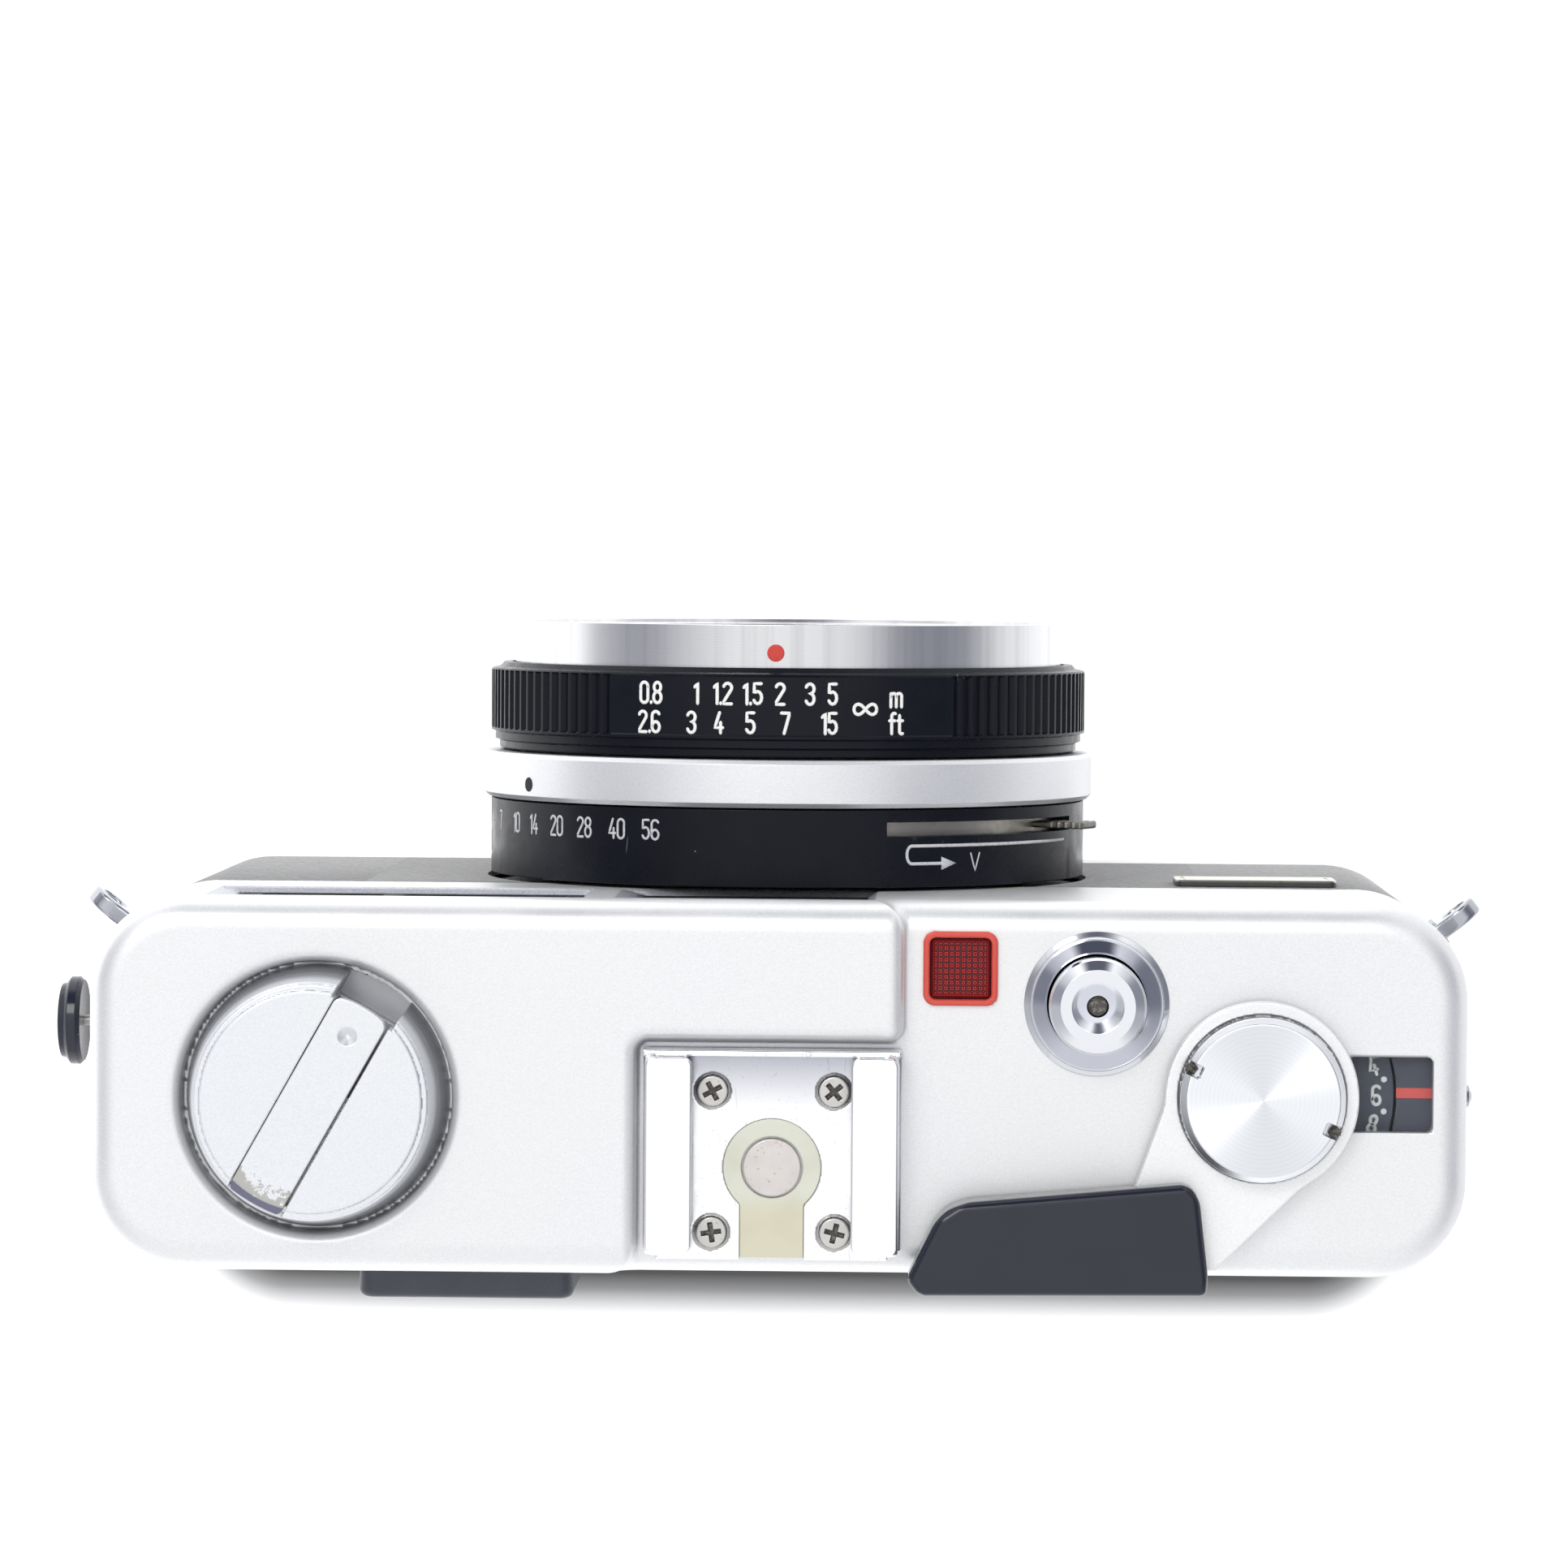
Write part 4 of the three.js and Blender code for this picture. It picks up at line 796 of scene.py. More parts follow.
def sweep(name, path, profile, facing, closed=True, loop=True, reshape=None):
    """Sweeps a profile of (outward, along) points over the stations of a path."""
    centers, outward, along, angles = path
    stations, rows = len(centers), len(profile)
    points, normals, index = [], [], np.zeros((stations, rows), int)
    for j, (d, h) in enumerate(profile):
        pole = closed and not loop and abs(d) < 1e-6
        for i in range(stations):
            if pole and i:
                index[i, j] = index[0, j]
                continue
            reach = d if reshape is None else reshape(d, h, angles[i])
            index[i, j] = len(points)
            points.append(centers[i] + outward[i] * reach + along * h)
            direction = outward[i] * facing[j][0] + along * facing[j][1]
            normals.append(along * np.sign(facing[j][1] or 1) if pole else direction)
    faces = {3: [], 4: []}
    for i in range(stations if closed else stations - 1):
        nxt = (i + 1) % stations
        for j in range(rows if loop else rows - 1):
            k = (j + 1) % rows
            ring = list(dict.fromkeys((index[i, j], index[nxt, j], index[nxt, k], index[i, k])))
            if len(ring) > 2:
                faces[len(ring)].append(ring)
    groups = [faces[n] for n in (3, 4) if faces[n]]
    if not closed:
        groups.append([list(index[0])])
        groups.append([list(index[-1][::-1])])
    if reshape is None and closed:
        return mesh_of(name, points, groups, normals=normals)
    return mesh_of(name, points, groups, sharp=32)


def lathe(name, center, axis, corners, radius=0.12, segments=160, solid=True):
    """A turned piece: corners are (radius, height); solid ones start and end on the axis."""
    profile, facing = soften(corners, radius, closed=not solid)
    path = circle_path(center, axis, segments)
    return sweep(name, path, profile, facing, loop=not solid)


def plan_path():
    """Points round the body's corners in plan, and the directions outward."""
    r = CORNER_R
    points, outward = [], []
    for sx, sy, first in ((1, -1, -90), (1, 1, 0), (-1, 1, 90), (-1, -1, 180)):
        for k in range(CORNER_STEPS + 1):
            a = math.radians(first + 90 * k / CORNER_STEPS)
            n = (math.cos(a), math.sin(a))
            points.append((sx * (HALF_X - r) + n[0] * r, sy * (HALF_Y - r) + n[1] * r))
            outward.append(n)
    return points, outward


def strip(name, stations, profile, radius=0.05):
    """An open strip along part of the body's outline: stations are ((x, y), (nx, ny))."""
    places, facing = soften(profile, radius, 3)
    centers = np.array([(*p, 0) for p, _ in stations], float)
    outward = np.array([(*n, 0) for _, n in stations], float)
    path = (centers, outward, np.array((0, 0, 1.0)), np.zeros(len(stations)))
    return sweep(name, path, places, facing, closed=False)


def boolean(mesh, cutters, name):
    """The mesh less each cutter, cut exactly."""
    subject = bpy.data.objects.new("subject", mesh)
    bpy.context.scene.collection.objects.link(subject)
    helpers = []
    for cutter in cutters:
        helper = bpy.data.objects.new("cutter", cutter)
        bpy.context.scene.collection.objects.link(helper)
        modifier = subject.modifiers.new("cut", "BOOLEAN")
        modifier.operation = "DIFFERENCE"
        modifier.object = helper
        helpers.append(helper)
    graph = bpy.context.evaluated_depsgraph_get()
    result = bpy.data.meshes.new_from_object(subject.evaluated_get(graph))
    result.name = name
    for helper in (subject, *helpers):
        bpy.data.objects.remove(helper)
    result.shade_smooth()
    result.set_sharp_from_angle(angle=math.radians(30))
    return result


# ---- Covers ----
def deck(x, y, z, drop=0.0):
    """The stepped top: the raised finder and rewind side, and the low deck."""
    low = z - LOW_DECK + drop
    finder_side = corner(-10.3 - x, y + 3.9, 1.3)
    raised = join(finder_side, 11.5 - x, 1.0)
    high = corner(raised + drop, z - HIGH_DECK + drop, 1.2)
    return join(low, high, 0.3)


def window_pocket(x, y, z, x0, x1):
    """A shallow recess that narrows inward, most of all at its far end."""
    depth = np.clip(y + HALF_Y, -1, POCKET_DEPTH)
    return maximum(maximum(x0 + 1.4 * depth - x, x - x1 + 3.4 * depth),
        maximum(53.2 + 0.9 * depth - z, z - 65.9 + 0.4 * depth))


def cover_field(x, y, z):
    plan = body_plan(x, y)
    outside = corner(plan, deck(x, y, z), 2.6)
    for x0, x1 in WINDOWS:
        outside = cut(outside, maximum(window_pocket(x, y, z, x0, x1), y + 12), 0.08)
    outside = cut(outside, maximum(disc(x, y, REWIND, 11.15), 66.9 - z), 0.9)
    outside = cut(outside, maximum(disc(x, y, REWIND, 10.5), 65.4 - z), 0.12)
    cup = maximum(disc(x, y, REWIND, 12.1), 64.3 - z)
    inside = maximum(maximum(plan + SKIN, deck(x, y, z, SKIN)), -cup)
    inside = maximum(inside, -HALF_Y + 1.75 - y)
    shell = maximum(outside, -inside)
    shell = maximum(shell, maximum(FRONT_SEAM - z, minimum(REAR_SEAM - z, y - 5.2)))
    holes = (around(x, y, LAMP, 2.8, 2.8, 0.8), disc(x, y, RELEASE, 5.45), disc(x, y, HUB, 3.0),
        rect(x, y, *COUNTER, 0.45))
    for hole in holes:
        shell = cut(shell, maximum(hole, 65.0 - z), 0.12)
    shell = cut(shell, maximum(disc(x, y, REWIND, 2.4), 63.0 - z))
    shell = cut(shell, maximum(around(x, z, EYEPIECE, 8.5, 4.8), HALF_Y - 3 - y), 0.1)
    shell = cut(shell, maximum(disc(y, z, SYNC, 2.3), HALF_X - 3 - x), 0.1)
    for sx, sy, _ in SHOE_SCREWS:
        shell = cut(shell, maximum(disc(x, y, (sx, sy), 0.95), 65.0 - z))
    return cut(shell, maximum(disc(y, z, SIDE_SCREW, 0.7), x + HALF_X - 3))


def make_covers():
    voxel = 0.3
    low, high = (-HALF_X, -HALF_Y, FRONT_SEAM), (HALF_X, HALF_Y, HIGH_DECK)
    add(sculpt("top_shell", cover_field, low, high, voxel), "cover", "top_cover")
    make_base_tray()


def make_base_tray():
    def tray(x, y, z):
        plan = body_plan(x, y)
        shell = slab(plan, z, 0, BASE_TOP, 0.15, 1.0)
        shell = cut(shell, maximum(plan + SKIN, SKIN - z), 0.05)
        for center, r in ((TRIPOD, 5.2), (BATTERY, 7.25), (SPROCKET, 2.3)):
            shell = cut(shell, maximum(disc(x, y, center, r), z - 3), 0.15)
        for screw in BASE_SCREWS:
            shell = cut(shell, disc(x, y, screw, 1.55) + maximum(z, 0) * 1.2)
        return shell

    voxel = 0.32
    add(sculpt("base_tray", tray, (-HALF_X, -HALF_Y, 0), (HALF_X, HALF_Y, BASE_TOP), voxel),
        "cover", "bottom_cover")
    for i, (x, y) in enumerate(BASE_SCREWS):
        add(screw_head(f"base_screw_{i + 1}", x, y, 0.45, 1.45, 25 * i, down=True), "steel",
            slot="steel")


def cross(u, v, r, grow=0.0):
    """The outline of a cross recess."""
    long, arm = 0.66 * r + grow, 0.16 * r + grow
    return minimum(around(u, v, (0, 0), long, arm, 0.02), around(u, v, (0, 0), arm, long, 0.02))


def screw_head(name, x, y, z, r, turn, down=False):
    """A cross-recess screw head whose rim is at z, facing up or down."""
    angle = math.radians(turn)
    side = -1 if down else 1

    def head(px, py, pz):
        u, v = turned(px, py, (x, y), angle)
        h = (pz - z) * side
        body = corner(corner(hypot(u, v) - r, h - 0.1, 0.12), -h - 0.62 * r, 0.02)
        return cut(body, maximum(cross(u, v, r), -h - 0.5 * r), 0.03)

    low = (x - r, y - r, z - 0.7 * r if side > 0 else z - 0.2)
    high = (x + r, y + r, z + 0.2 if side > 0 else z + 0.7 * r)
    return sculpt(name, head, low, high, 0.05 * max(1, r / 1.2))


def cross_grime(name, x, y, z, r, turn):
    """A dark plug low in a screw's cross recess: painted shade."""
    angle = math.radians(turn)

    def plug(px, py, pz):
        u, v = turned(px, py, (x, y), angle)
        uneven = 0.05 * np.sin(9 * u + 3) * np.sin(11 * v)
        return maximum(cross(u, v, r, -0.012), span(pz - z + uneven, -0.5 * r, -0.18 * r))

    return sculpt(name, plug, (x - r, y - r, z - 0.6 * r), (x + r, y + r, z), 0.05)


# ---- Body skins and back ----
def front_stations(side):
    """From the lens's middle out round the front corner and back along the end."""
    points, outward = plan_path()
    order = [i for i, p in enumerate(points) if p[0] * side > 0 and p[1] < 0]
    if side < 0:
        order = order[::-1]
    order.sort(key=lambda i: math.atan2(points[i][1] + 2, abs(points[i][0])))
    run = [(points[i], outward[i]) for i in order]
    start = ((LENS_X, -HALF_Y), (0, -1))
    finish = ((side * HALF_X, 5.0), (side, 0))
    steps = [((side * HALF_X, y), (side, 0)) for y in (-4, 0)]
    flat = [((side * x, -HALF_Y), (0, -1)) for x in (12, 24, 36)]
    return [start, *flat, *run, *steps, finish]


def rear_stations():
    """From the hinge side round the back to the latch side."""
    r = CORNER_R
    corners = []
    for sx, first in ((-1, 180), (1, 90)):
        for k in range(CORNER_STEPS + 1):
            a = math.radians(first - 90 * k / CORNER_STEPS)
            n = (math.cos(a), math.sin(a))
            corners.append(((sx * (HALF_X - r) + n[0] * r, HALF_Y - r + n[1] * r), n))
    return [*corners, ((HALF_X, 5.4), (1, 0))]


def make_skins():
    for side, node in ((1, "front_leather_left"), (-1, "front_leather_right")):
        profile = [(0, FRONT_SEAM - 0.15), (0, BASE_TOP + 0.3), (-0.5, BASE_TOP + 0.3),
            (-0.5, FRONT_SEAM - 0.15)]
        skin = strip(node, front_stations(side), profile, 0.1)
        hole = lathe("hole", (LENS_X, 0, LENS_Z), "Y",
            [(0, -17), (26.35, -17), (26.35, -13), (0, -13)], 0.01)
        add(boolean(skin, [hole], node + "_skin"), "leather", node)
    z0, z1 = BASE_TOP + 0.3, REAR_SEAM - 0.3
    stations = trimmed(rear_stations(), 7.8, 5.4)
    shell = [(-0.55, z1), (-0.55, z0), (-1.75, z0), (-1.75, z1)]
    add(strip("door_shell", stations, shell, 0.2), "matt_black", body="rear_door",
        slot=SLOTS["rear_door"])
    add(lathe("door_hinge_barrel", (-56.0, 6.6, 0), "Z",
        [(0.72, z0 + 4), (1.05, z0 + 4), (1.05, z1 - 4), (0.72, z1 - 4)], 0.08, 32, solid=False),
        "matt_black", "rear_door", "rear_door")
    stations = trimmed(rear_stations(), 8.2, 5.8)
    grip = [(0, z1 - 0.6), (0, z0 + 0.6), (-0.5, z0 + 0.6), (-0.5, z1 - 0.6)]
    add(strip("door_skin", stations, grip, 0.14), "leather", "door_leather", "rear_door")
    add(sculpt(
        "door_hinge_web",
        lambda x, y, z: slab(
            rect(x, y, -55.85, -54.9, 7.2, 9.6, 0.2), z, z0 + 4, z1 - 4, 0.15, 0.15),
        (-55.9, 7.2, z0 + 4), (-54.9, 9.6, z1 - 4), 0.22,
    ), "matt_black", body="rear_door", slot=SLOTS["rear_door"])


def trimmed(stations, left_y, right_y):
    """The rear stations, with the two ends moved to these places along the ends of the body."""
    inner = [s for s in stations if s[0][0] > 0 and s[0][1] > right_y or s[0][1] > left_y]
    inner = [s for s in inner if not (s[0][0] < 0 and s[0][1] <= left_y)]
    return [((-HALF_X, left_y), (-1, 0)), *inner, ((HALF_X, right_y), (1, 0))]


def make_badge():
    def plate(x, y, z):
        body = slab(rect(x, z, -47.2, -33.4, 37.5, 43.6, 0.7), -y, 15.42, 15.98, 0.1)
        border = rect(x, z, -46.5, -34.1, 38.2, 42.9, 0.4)
        return cut(body, maximum(np.abs(border) - 0.12, y + 15.86), 0.03)

    add(sculpt("badge_blank", plate, (-47.2, -15.98, 37.5), (-33.4, -15.42, 43.6), 0.09), "badge",
        "badge_plate")


# ---- Finder ----
def make_finder():
    ex, ez = EYEPIECE

    def frame_field(x, y, z):
        flange = slab(around(x, z, EYEPIECE, 8.9, 5.4, 1.4), y, 15.5, 18.1, 0.7)
        neck = maximum(around(x, z, EYEPIECE, 8.2, 4.5), span(y, 12.8, 15.7))
        funnel = around(x, z, EYEPIECE, 5.7, 3.2, 0.8) - maximum(y - 17.2, 0) * 1.1
        return cut(minimum(flange, neck), funnel, 0.25)

    add(sculpt("eyepiece_surround", frame_field, (ex - 8.9, 12.8, ez - 5.4),
        (ex + 8.9, 18.1, ez + 5.4), 0.16), "frame_plastic", "eyepiece_frame")
    add(sculpt(
        "eyepiece_glass",
        lambda x, y, z: slab(around(x, z, EYEPIECE, 5.5, 3, 0.6), y, 15.0, 16.2, 0.25),
        (ex - 5.5, 15, ez - 3), (ex + 5.5, 16.2, ez + 3), 0.16,
    ), "window_glass", "eyepiece_lens")
    openings = ((18.2, 31.6, 54.9, 62.6), (33.6, 43.6, 54.9, 62.6), (-4.6, 0.4, 56.0, 61.2))
    for i, (x0, x1) in enumerate(WINDOWS):
        a, b = x0 + 1.4 * POCKET_DEPTH + 0.02, x1 - 3.4 * POCKET_DEPTH - 0.02

        def front(x, y, z, a=a, b=b):
            body = slab(rect(x, z, a, b, 53.72, 65.65), -y, 14.35, 14.86, 0.03)
            for u0, u1, w0, w1 in openings:
                body = cut(body, rect(x, z, u0, u1, w0, w1, 0.5) + (y + 14.35) * 0.3, 0.03)
            return body
        add(sculpt(f"window_mask_{i + 1}", front, (a, -14.86, 53.72), (b, -14.35, 65.65), 0.11),
            "matt_black", slot="black_metal")
    for node, x0, x1 in (("viewfinder_window", 16.75, 45.45), ("rangefinder_window", -7.0, 11.6)):
        def pane(x, y, z, x0=x0, x1=x1):
            return slab(rect(x, z, x0, x1, 53.9, 65.6, 0.5), -y, 13.45, 14.3, 0.1)
        add(sculpt(node + "_pane", pane, (x0, -14.3, 53.9), (x1, -13.45, 65.6), 0.2),
            "window_glass", node)


# ---- Accessory shoe ----
def key_outline(x, y, r, half, end):
    """A round plate with a tongue that runs back to end."""
    tongue = rect(x, y, SHOE_X - half, SHOE_X + half, CONTACT[1], end)
    return join(disc(x, y, CONTACT, r), tongue, 0.15)


def shoe_field(x, y, z):
    u = x - SHOE_X
    plan = rect(u, y, -10.55, 10.55, -3.3, 14.1, 0.7)
    notch = maximum(np.abs(np.abs(u) - 10.1) - 0.6, 13.3 - y)
    base = slab(maximum(plan, -notch), z, 67.05, 67.65, 0.12)
    lip = slab(rect(u, y, -10.55, 10.55, -3.3, -2.75, 0.2), z, 67.05, 69.95, 0.22)
    arm = np.abs(u)
    wall = slab(rect(arm, y, 9.45, 10.3, -2.85, 13.35, 0.2), z, 67.05, 70.2, 0.3)
    flap = slab(rect(arm, y, 6.5, 10.3, -2.75, 13.45, 0.75), z, 69.8, 70.6, 0.2, 0.1)
    shell = join(join(base, lip, 0.25), join(wall, flap, 0.35), 0.2)
    for sx, sy, _ in SHOE_SCREWS:
        sink = disc(x, y, (sx, sy), 1.27) - np.clip(z - 67.38, 0, 1) * 1.25
        shell = cut(shell, maximum(sink, z - 68.2), 0.03)
    keyhole = key_outline(x, y, 4.0, 2.6, 14.6)
    return cut(shell, maximum(keyhole, z - 68.5), 0.08)


def make_shoe():
    add(sculpt("shoe_plate", shoe_field, (SHOE_X - 10.55, -3.3, 67.05),
        (SHOE_X + 10.55, 14.1, 70.6), 0.12), "shoe", "accessory_shoe")

    def insulator(x, y, z):
        body = slab(key_outline(x, y, 3.99, 2.59, 13.9), z, 67.05, 67.62, 0.06)
        return cut(body, disc(x, y, CONTACT, 2.52), 0.12)

    add(sculpt("ivory_insulator", insulator, (SHOE_X - 4, 2.5, 67.05), (SHOE_X + 4, 13.9, 67.62),
        0.09), "cream", "shoe_insulator")
    corners = [(0, 67.05), (2.36, 67.05), (2.36, 67.8), (0, 67.8)]
    add(lathe("hot_contact", (*CONTACT, 0), "Z", corners, 0.14, 72), "contact", "shoe_contact")
    for i, (x, y, turn) in enumerate(SHOE_SCREWS):
        add(screw_head(f"shoe_screw_head_{i + 1}", x, y, 67.8, 1.24, turn), "steel",
            f"shoe_screw_{i + 1}")
        # A dark plug in each cross recess, painted shade.
        add(cross_grime(f"shoe_screw_shade_plug_{i + 1}", x, y, 67.8, 1.24, turn), "grime_and_shade", slot="steel")


# ---- Deck controls ----
def make_lamp():
    lx, ly = LAMP

    def rim(x, y, z):
        flat = around(x, y, LAMP, 3.05, 3.05, 1.0)
        body = slab(flat, z, 67.0, 67.5, 0.22)
        skirt = maximum(around(x, y, LAMP, 2.75, 2.75, 0.6), span(z, 63.5, 67.2))
        hole = around(x, y, LAMP, 2.5, 2.5, 0.5) - maximum(z - 67.2, 0) * 0.25
        return cut(minimum(body, skirt), hole, 0.06)

    def window(x, y, z):
        flat = around(x, y, LAMP, 2.45, 2.45, 0.45)
        reach = maximum(np.abs(x - lx), np.abs(y - ly))
        bowl = 66.72 + np.clip(reach - 2.1, 0, 0.4) * 1.4
        pitch = 0.47
        u = np.abs((x - lx) / pitch % 1 - 0.5)
        v = np.abs((y - ly) / pitch % 1 - 0.5)
        groove = maximum(u, v)
        stud = np.clip((0.40 - groove) * 1.6, 0, 0.15) - np.clip((0.17 - groove) * 1.6, 0, 0.13)
        top = bowl + np.where(reach < 2.1, stud, 0.0)
        return maximum(maximum(flat, z - top), 64.6 - z)

    low, high = (lx - 3.05, ly - 3.05, 63.5), (lx + 3.05, ly + 3.05, 67.5)
    add(sculpt("lamp_rim", rim, low, high, 0.1), "lamp_rim", "lamp_bezel")
    add(sculpt("lamp_window", window, (lx - 2.45, ly - 2.45, 66.2), (lx + 2.45, ly + 2.45, 67.3),
        0.045), "lamp", "lamp_lens")


def make_release():
    center = (*RELEASE, 0)
    corners = [(4.08, 65.2), (5.15, 65.2), (5.15, 67.02), (5.95, 67.02), (5.92, 67.1),
        (5.48, 67.32), (5.48, 67.9), (5.38, 68.06), (5.22, 68.0), (4.25, 67.42), (4.08, 67.3)]
    add(lathe("release_collar", center, "Z", corners, 0.08, 192, solid=False), "collar",
        "release_bezel")
    corners = [(0, 58), (1.8, 58), (1.8, 65.9), (3.98, 65.9), (3.98, 70.0), (3.8, 70.4),
        (3.15, 70.92), (3.05, 71.0), (2.15, 71.0), (2.05, 70.95), (1.15, 70.15), (0.88, 69.9),
        (0.82, 68.6), (0, 68.5)]
    add(lathe("release_cap", center, "Z", corners, 0.1, 160), "button", "release_button",
        "release_button")
    # A dark fill low in the button's threaded bore.
    corners = [(0, 68.45), (0.8, 68.45), (0.8, 69.35), (0.5, 69.5), (0, 69.4)]
    thread = lathe("release_thread_dark_fill", center, "Z", corners, 0.06, 48)
    spring = nodes["release_spring"].data.copy()
    spring.name = "release_coil"
    coil = add(spring, "steel", "release_spring")
    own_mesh(coil)
    add(thread, "grime_and_shade", slot="black_metal", body="release_button")


def lever_plan(x, y):
    round_end = disc(x, y, HUB, 7.9)
    arm = convex(x, y, [(-32.9, -2.8), (-29.2, 7.7), (-28.6, 10.6), (-29.6, 14.4), (-35.8, 14.46),
        (-45.13, 5.34)])
    tongue = convex(x, y, [(-32.0, 7.4), (-16.6, 10.4), (-14.6, 14.2), (-35.8, 14.46)])
    return join(round_end, minimum(arm, tongue), 0.3)


def make_lever():
    def plate(x, y, z):
        body = slab(lever_plan(x, y), z, 67.9, 69.0, 0.14, 0.1)
        sink = maximum(disc(x, y, HUB, 6.86), 68.7 - z)
        return cut(cut(body, sink, 0.12), disc(x, y, HUB, 2.5), 0.05)

    voxel = 0.16
    add(sculpt("lever_plate", plate, (-47.5, -7.6, 67.9), (-14.4, 14.6, 69.0), voxel), "lever",
        "advance_lever", "advance_lever")

    def tip(x, y, z):
        outline = convex(x, y, LEVER_TIP, 0.5)
        body = slab(outline, z, 67.65, 71.3, 0.75, 0.3)
        slot = maximum(lever_plan(x, y) - 0.12, span(z, 60, 69.12))
        return maximum(body, -slot)

    add(sculpt("lever_tip", tip, (-35.3, 7.2, 67.65), (-10.6, 16.6, 71.3), voxel), "tip",
        "advance_tip", "advance_lever")

    def cap(x, y, z):
        r = hypot(x - HUB[0], y - HUB[1])
        top = 71.1 - 0.004 * r
        body = corner(corner(r - 6.72, z - top), (r - 6.2 + z - top) * 0.7071, 0.05)
        body = corner(body, 69.05 - z, 0.1)
        for sx, sy in ((5.85, -2.55), (-5.85, 2.55)):
            u, v = turned(x, y, HUB, math.atan2(sy, sx))
            notch = maximum(rect(u, v, 5.45, 8.0, -0.55, 0.55, 0.2), 69.5 - z)
            body = cut(body, notch, 0.05)
        return body

    add(sculpt("lever_cap", cap, (HUB[0] - 6.8, HUB[1] - 6.8, 69.05),
        (HUB[0] + 6.8, HUB[1] + 6.8, 71.1), 0.1), "cap", "advance_cap", "advance_lever")
    shaft = [(0, 51.9), (2.2, 51.9), (2.2, 69.1), (0, 69.1)]
    add(lathe("lever_shaft", (*HUB, 0), "Z", shaft, 0.1, 40), "steel", slot="bright_aluminium",
        body="advance_lever")
    for i, (sx, sy) in enumerate(((5.85, -2.55), (-5.85, 2.55))):
        def crumb(x, y, z, cx=HUB[0] + sx, cy=HUB[1] + sy):
            lump = np.sqrt((x - cx) ** 2 + (y - cy) ** 2 + ((z - 70.1) * 1.2) ** 2) - 0.52
            return lump + 0.08 * np.sin(9 * x + 4 * z) * np.sin(8 * y) + 0.05 * np.sin(17 * (x + y))
        cx, cy = HUB[0] + sx, HUB[1] + sy
        add(sculpt(f"notch_grime_{i + 1}", crumb, (cx - 0.7, cy - 0.7, 69.5),
            (cx + 0.7, cy + 0.7, 70.7), 0.06), "grime_and_shade", slot="steel", body="advance_lever")


def make_counter():
    corners = [(2.5, 62.5), (4.2, 62.5), (4.2, 64.3), (11.0, 64.3), (11.0, 65.0), (2.5, 65.0)]
    add(lathe("counter_disc", (*HUB, 0), "Z", corners, 0.08, 160, solid=False), "dial",
        "counter_dial", "counter_dial")

    def mask(x, y, z):
        flat = rect(x, y, -53.9, -46.2, -3.3, 3.55, 0.3)
        flat = maximum(flat, 11.15 - hypot(x - HUB[0], y - HUB[1]))
        return slab(flat, z, 65.1, 65.45, 0.06)

    add(sculpt("counter_mask", mask, (-53.9, -3.3, 65.1), (-46.2, 3.55, 65.45), 0.09), "dial",
        slot="black_metal")
    add(sculpt(
        "counter_mark",
        lambda x, y, z: slab(rect(x, y, -53.7, -50.62, -0.33, 0.53, 0.04), z, 65.4, 65.5, 0.03),
        (-53.7, -0.33, 65.4), (-50.6, 0.53, 65.5), 0.05,
    ), "coral_paint", slot="red_plastic")
    x0, x1, y0, y1 = COUNTER
    add(sculpt(
        "counter_pane",
        lambda x, y, z: slab(
            rect(x, y, x0 + 0.1, x1 - 0.1, y0 + 0.1, y1 - 0.1, 0.4), z, 65.9, 66.75, 0.12),
        (x0, y0, 65.9), (x1, y1, 66.75), 0.14,
    ), "clear", "counter_window")
    for step in range(37):
        a = math.radians(180 - (step - 6) * FRAME_STEP)
        if step % 2 == 0:
            text, size, reach = str(step), 1.55, 9.55
            turn = a - math.pi
            cx, cy = HUB[0] + reach * math.cos(a), HUB[1] + reach * math.sin(a)
            strokes = flat_text(text, cx, cy, 65.0, size, turn)
            mesh = strokes_mesh(f"count_{step}", strokes, 0.155)
        else:
            cx, cy = HUB[0] + 10.25 * math.cos(a), HUB[1] + 10.25 * math.sin(a)
            mesh = lathe(f"count_{step}", (cx, cy, 0), "Z",
                [(0, 64.98), (0.25, 64.98), (0.25, 65.05), (0, 65.05)], 0.02, 16)
        add(mesh, "white_paint", slot="black_metal", body="counter_dial")


# ---- Rewind knob ----
def crank_frame(x, y):
    """Distance along the crank from the knob's centre, and across it."""
    return turned(x, y, REWIND, math.atan2(CRANK_DIRECTION[1], CRANK_DIRECTION[0]))


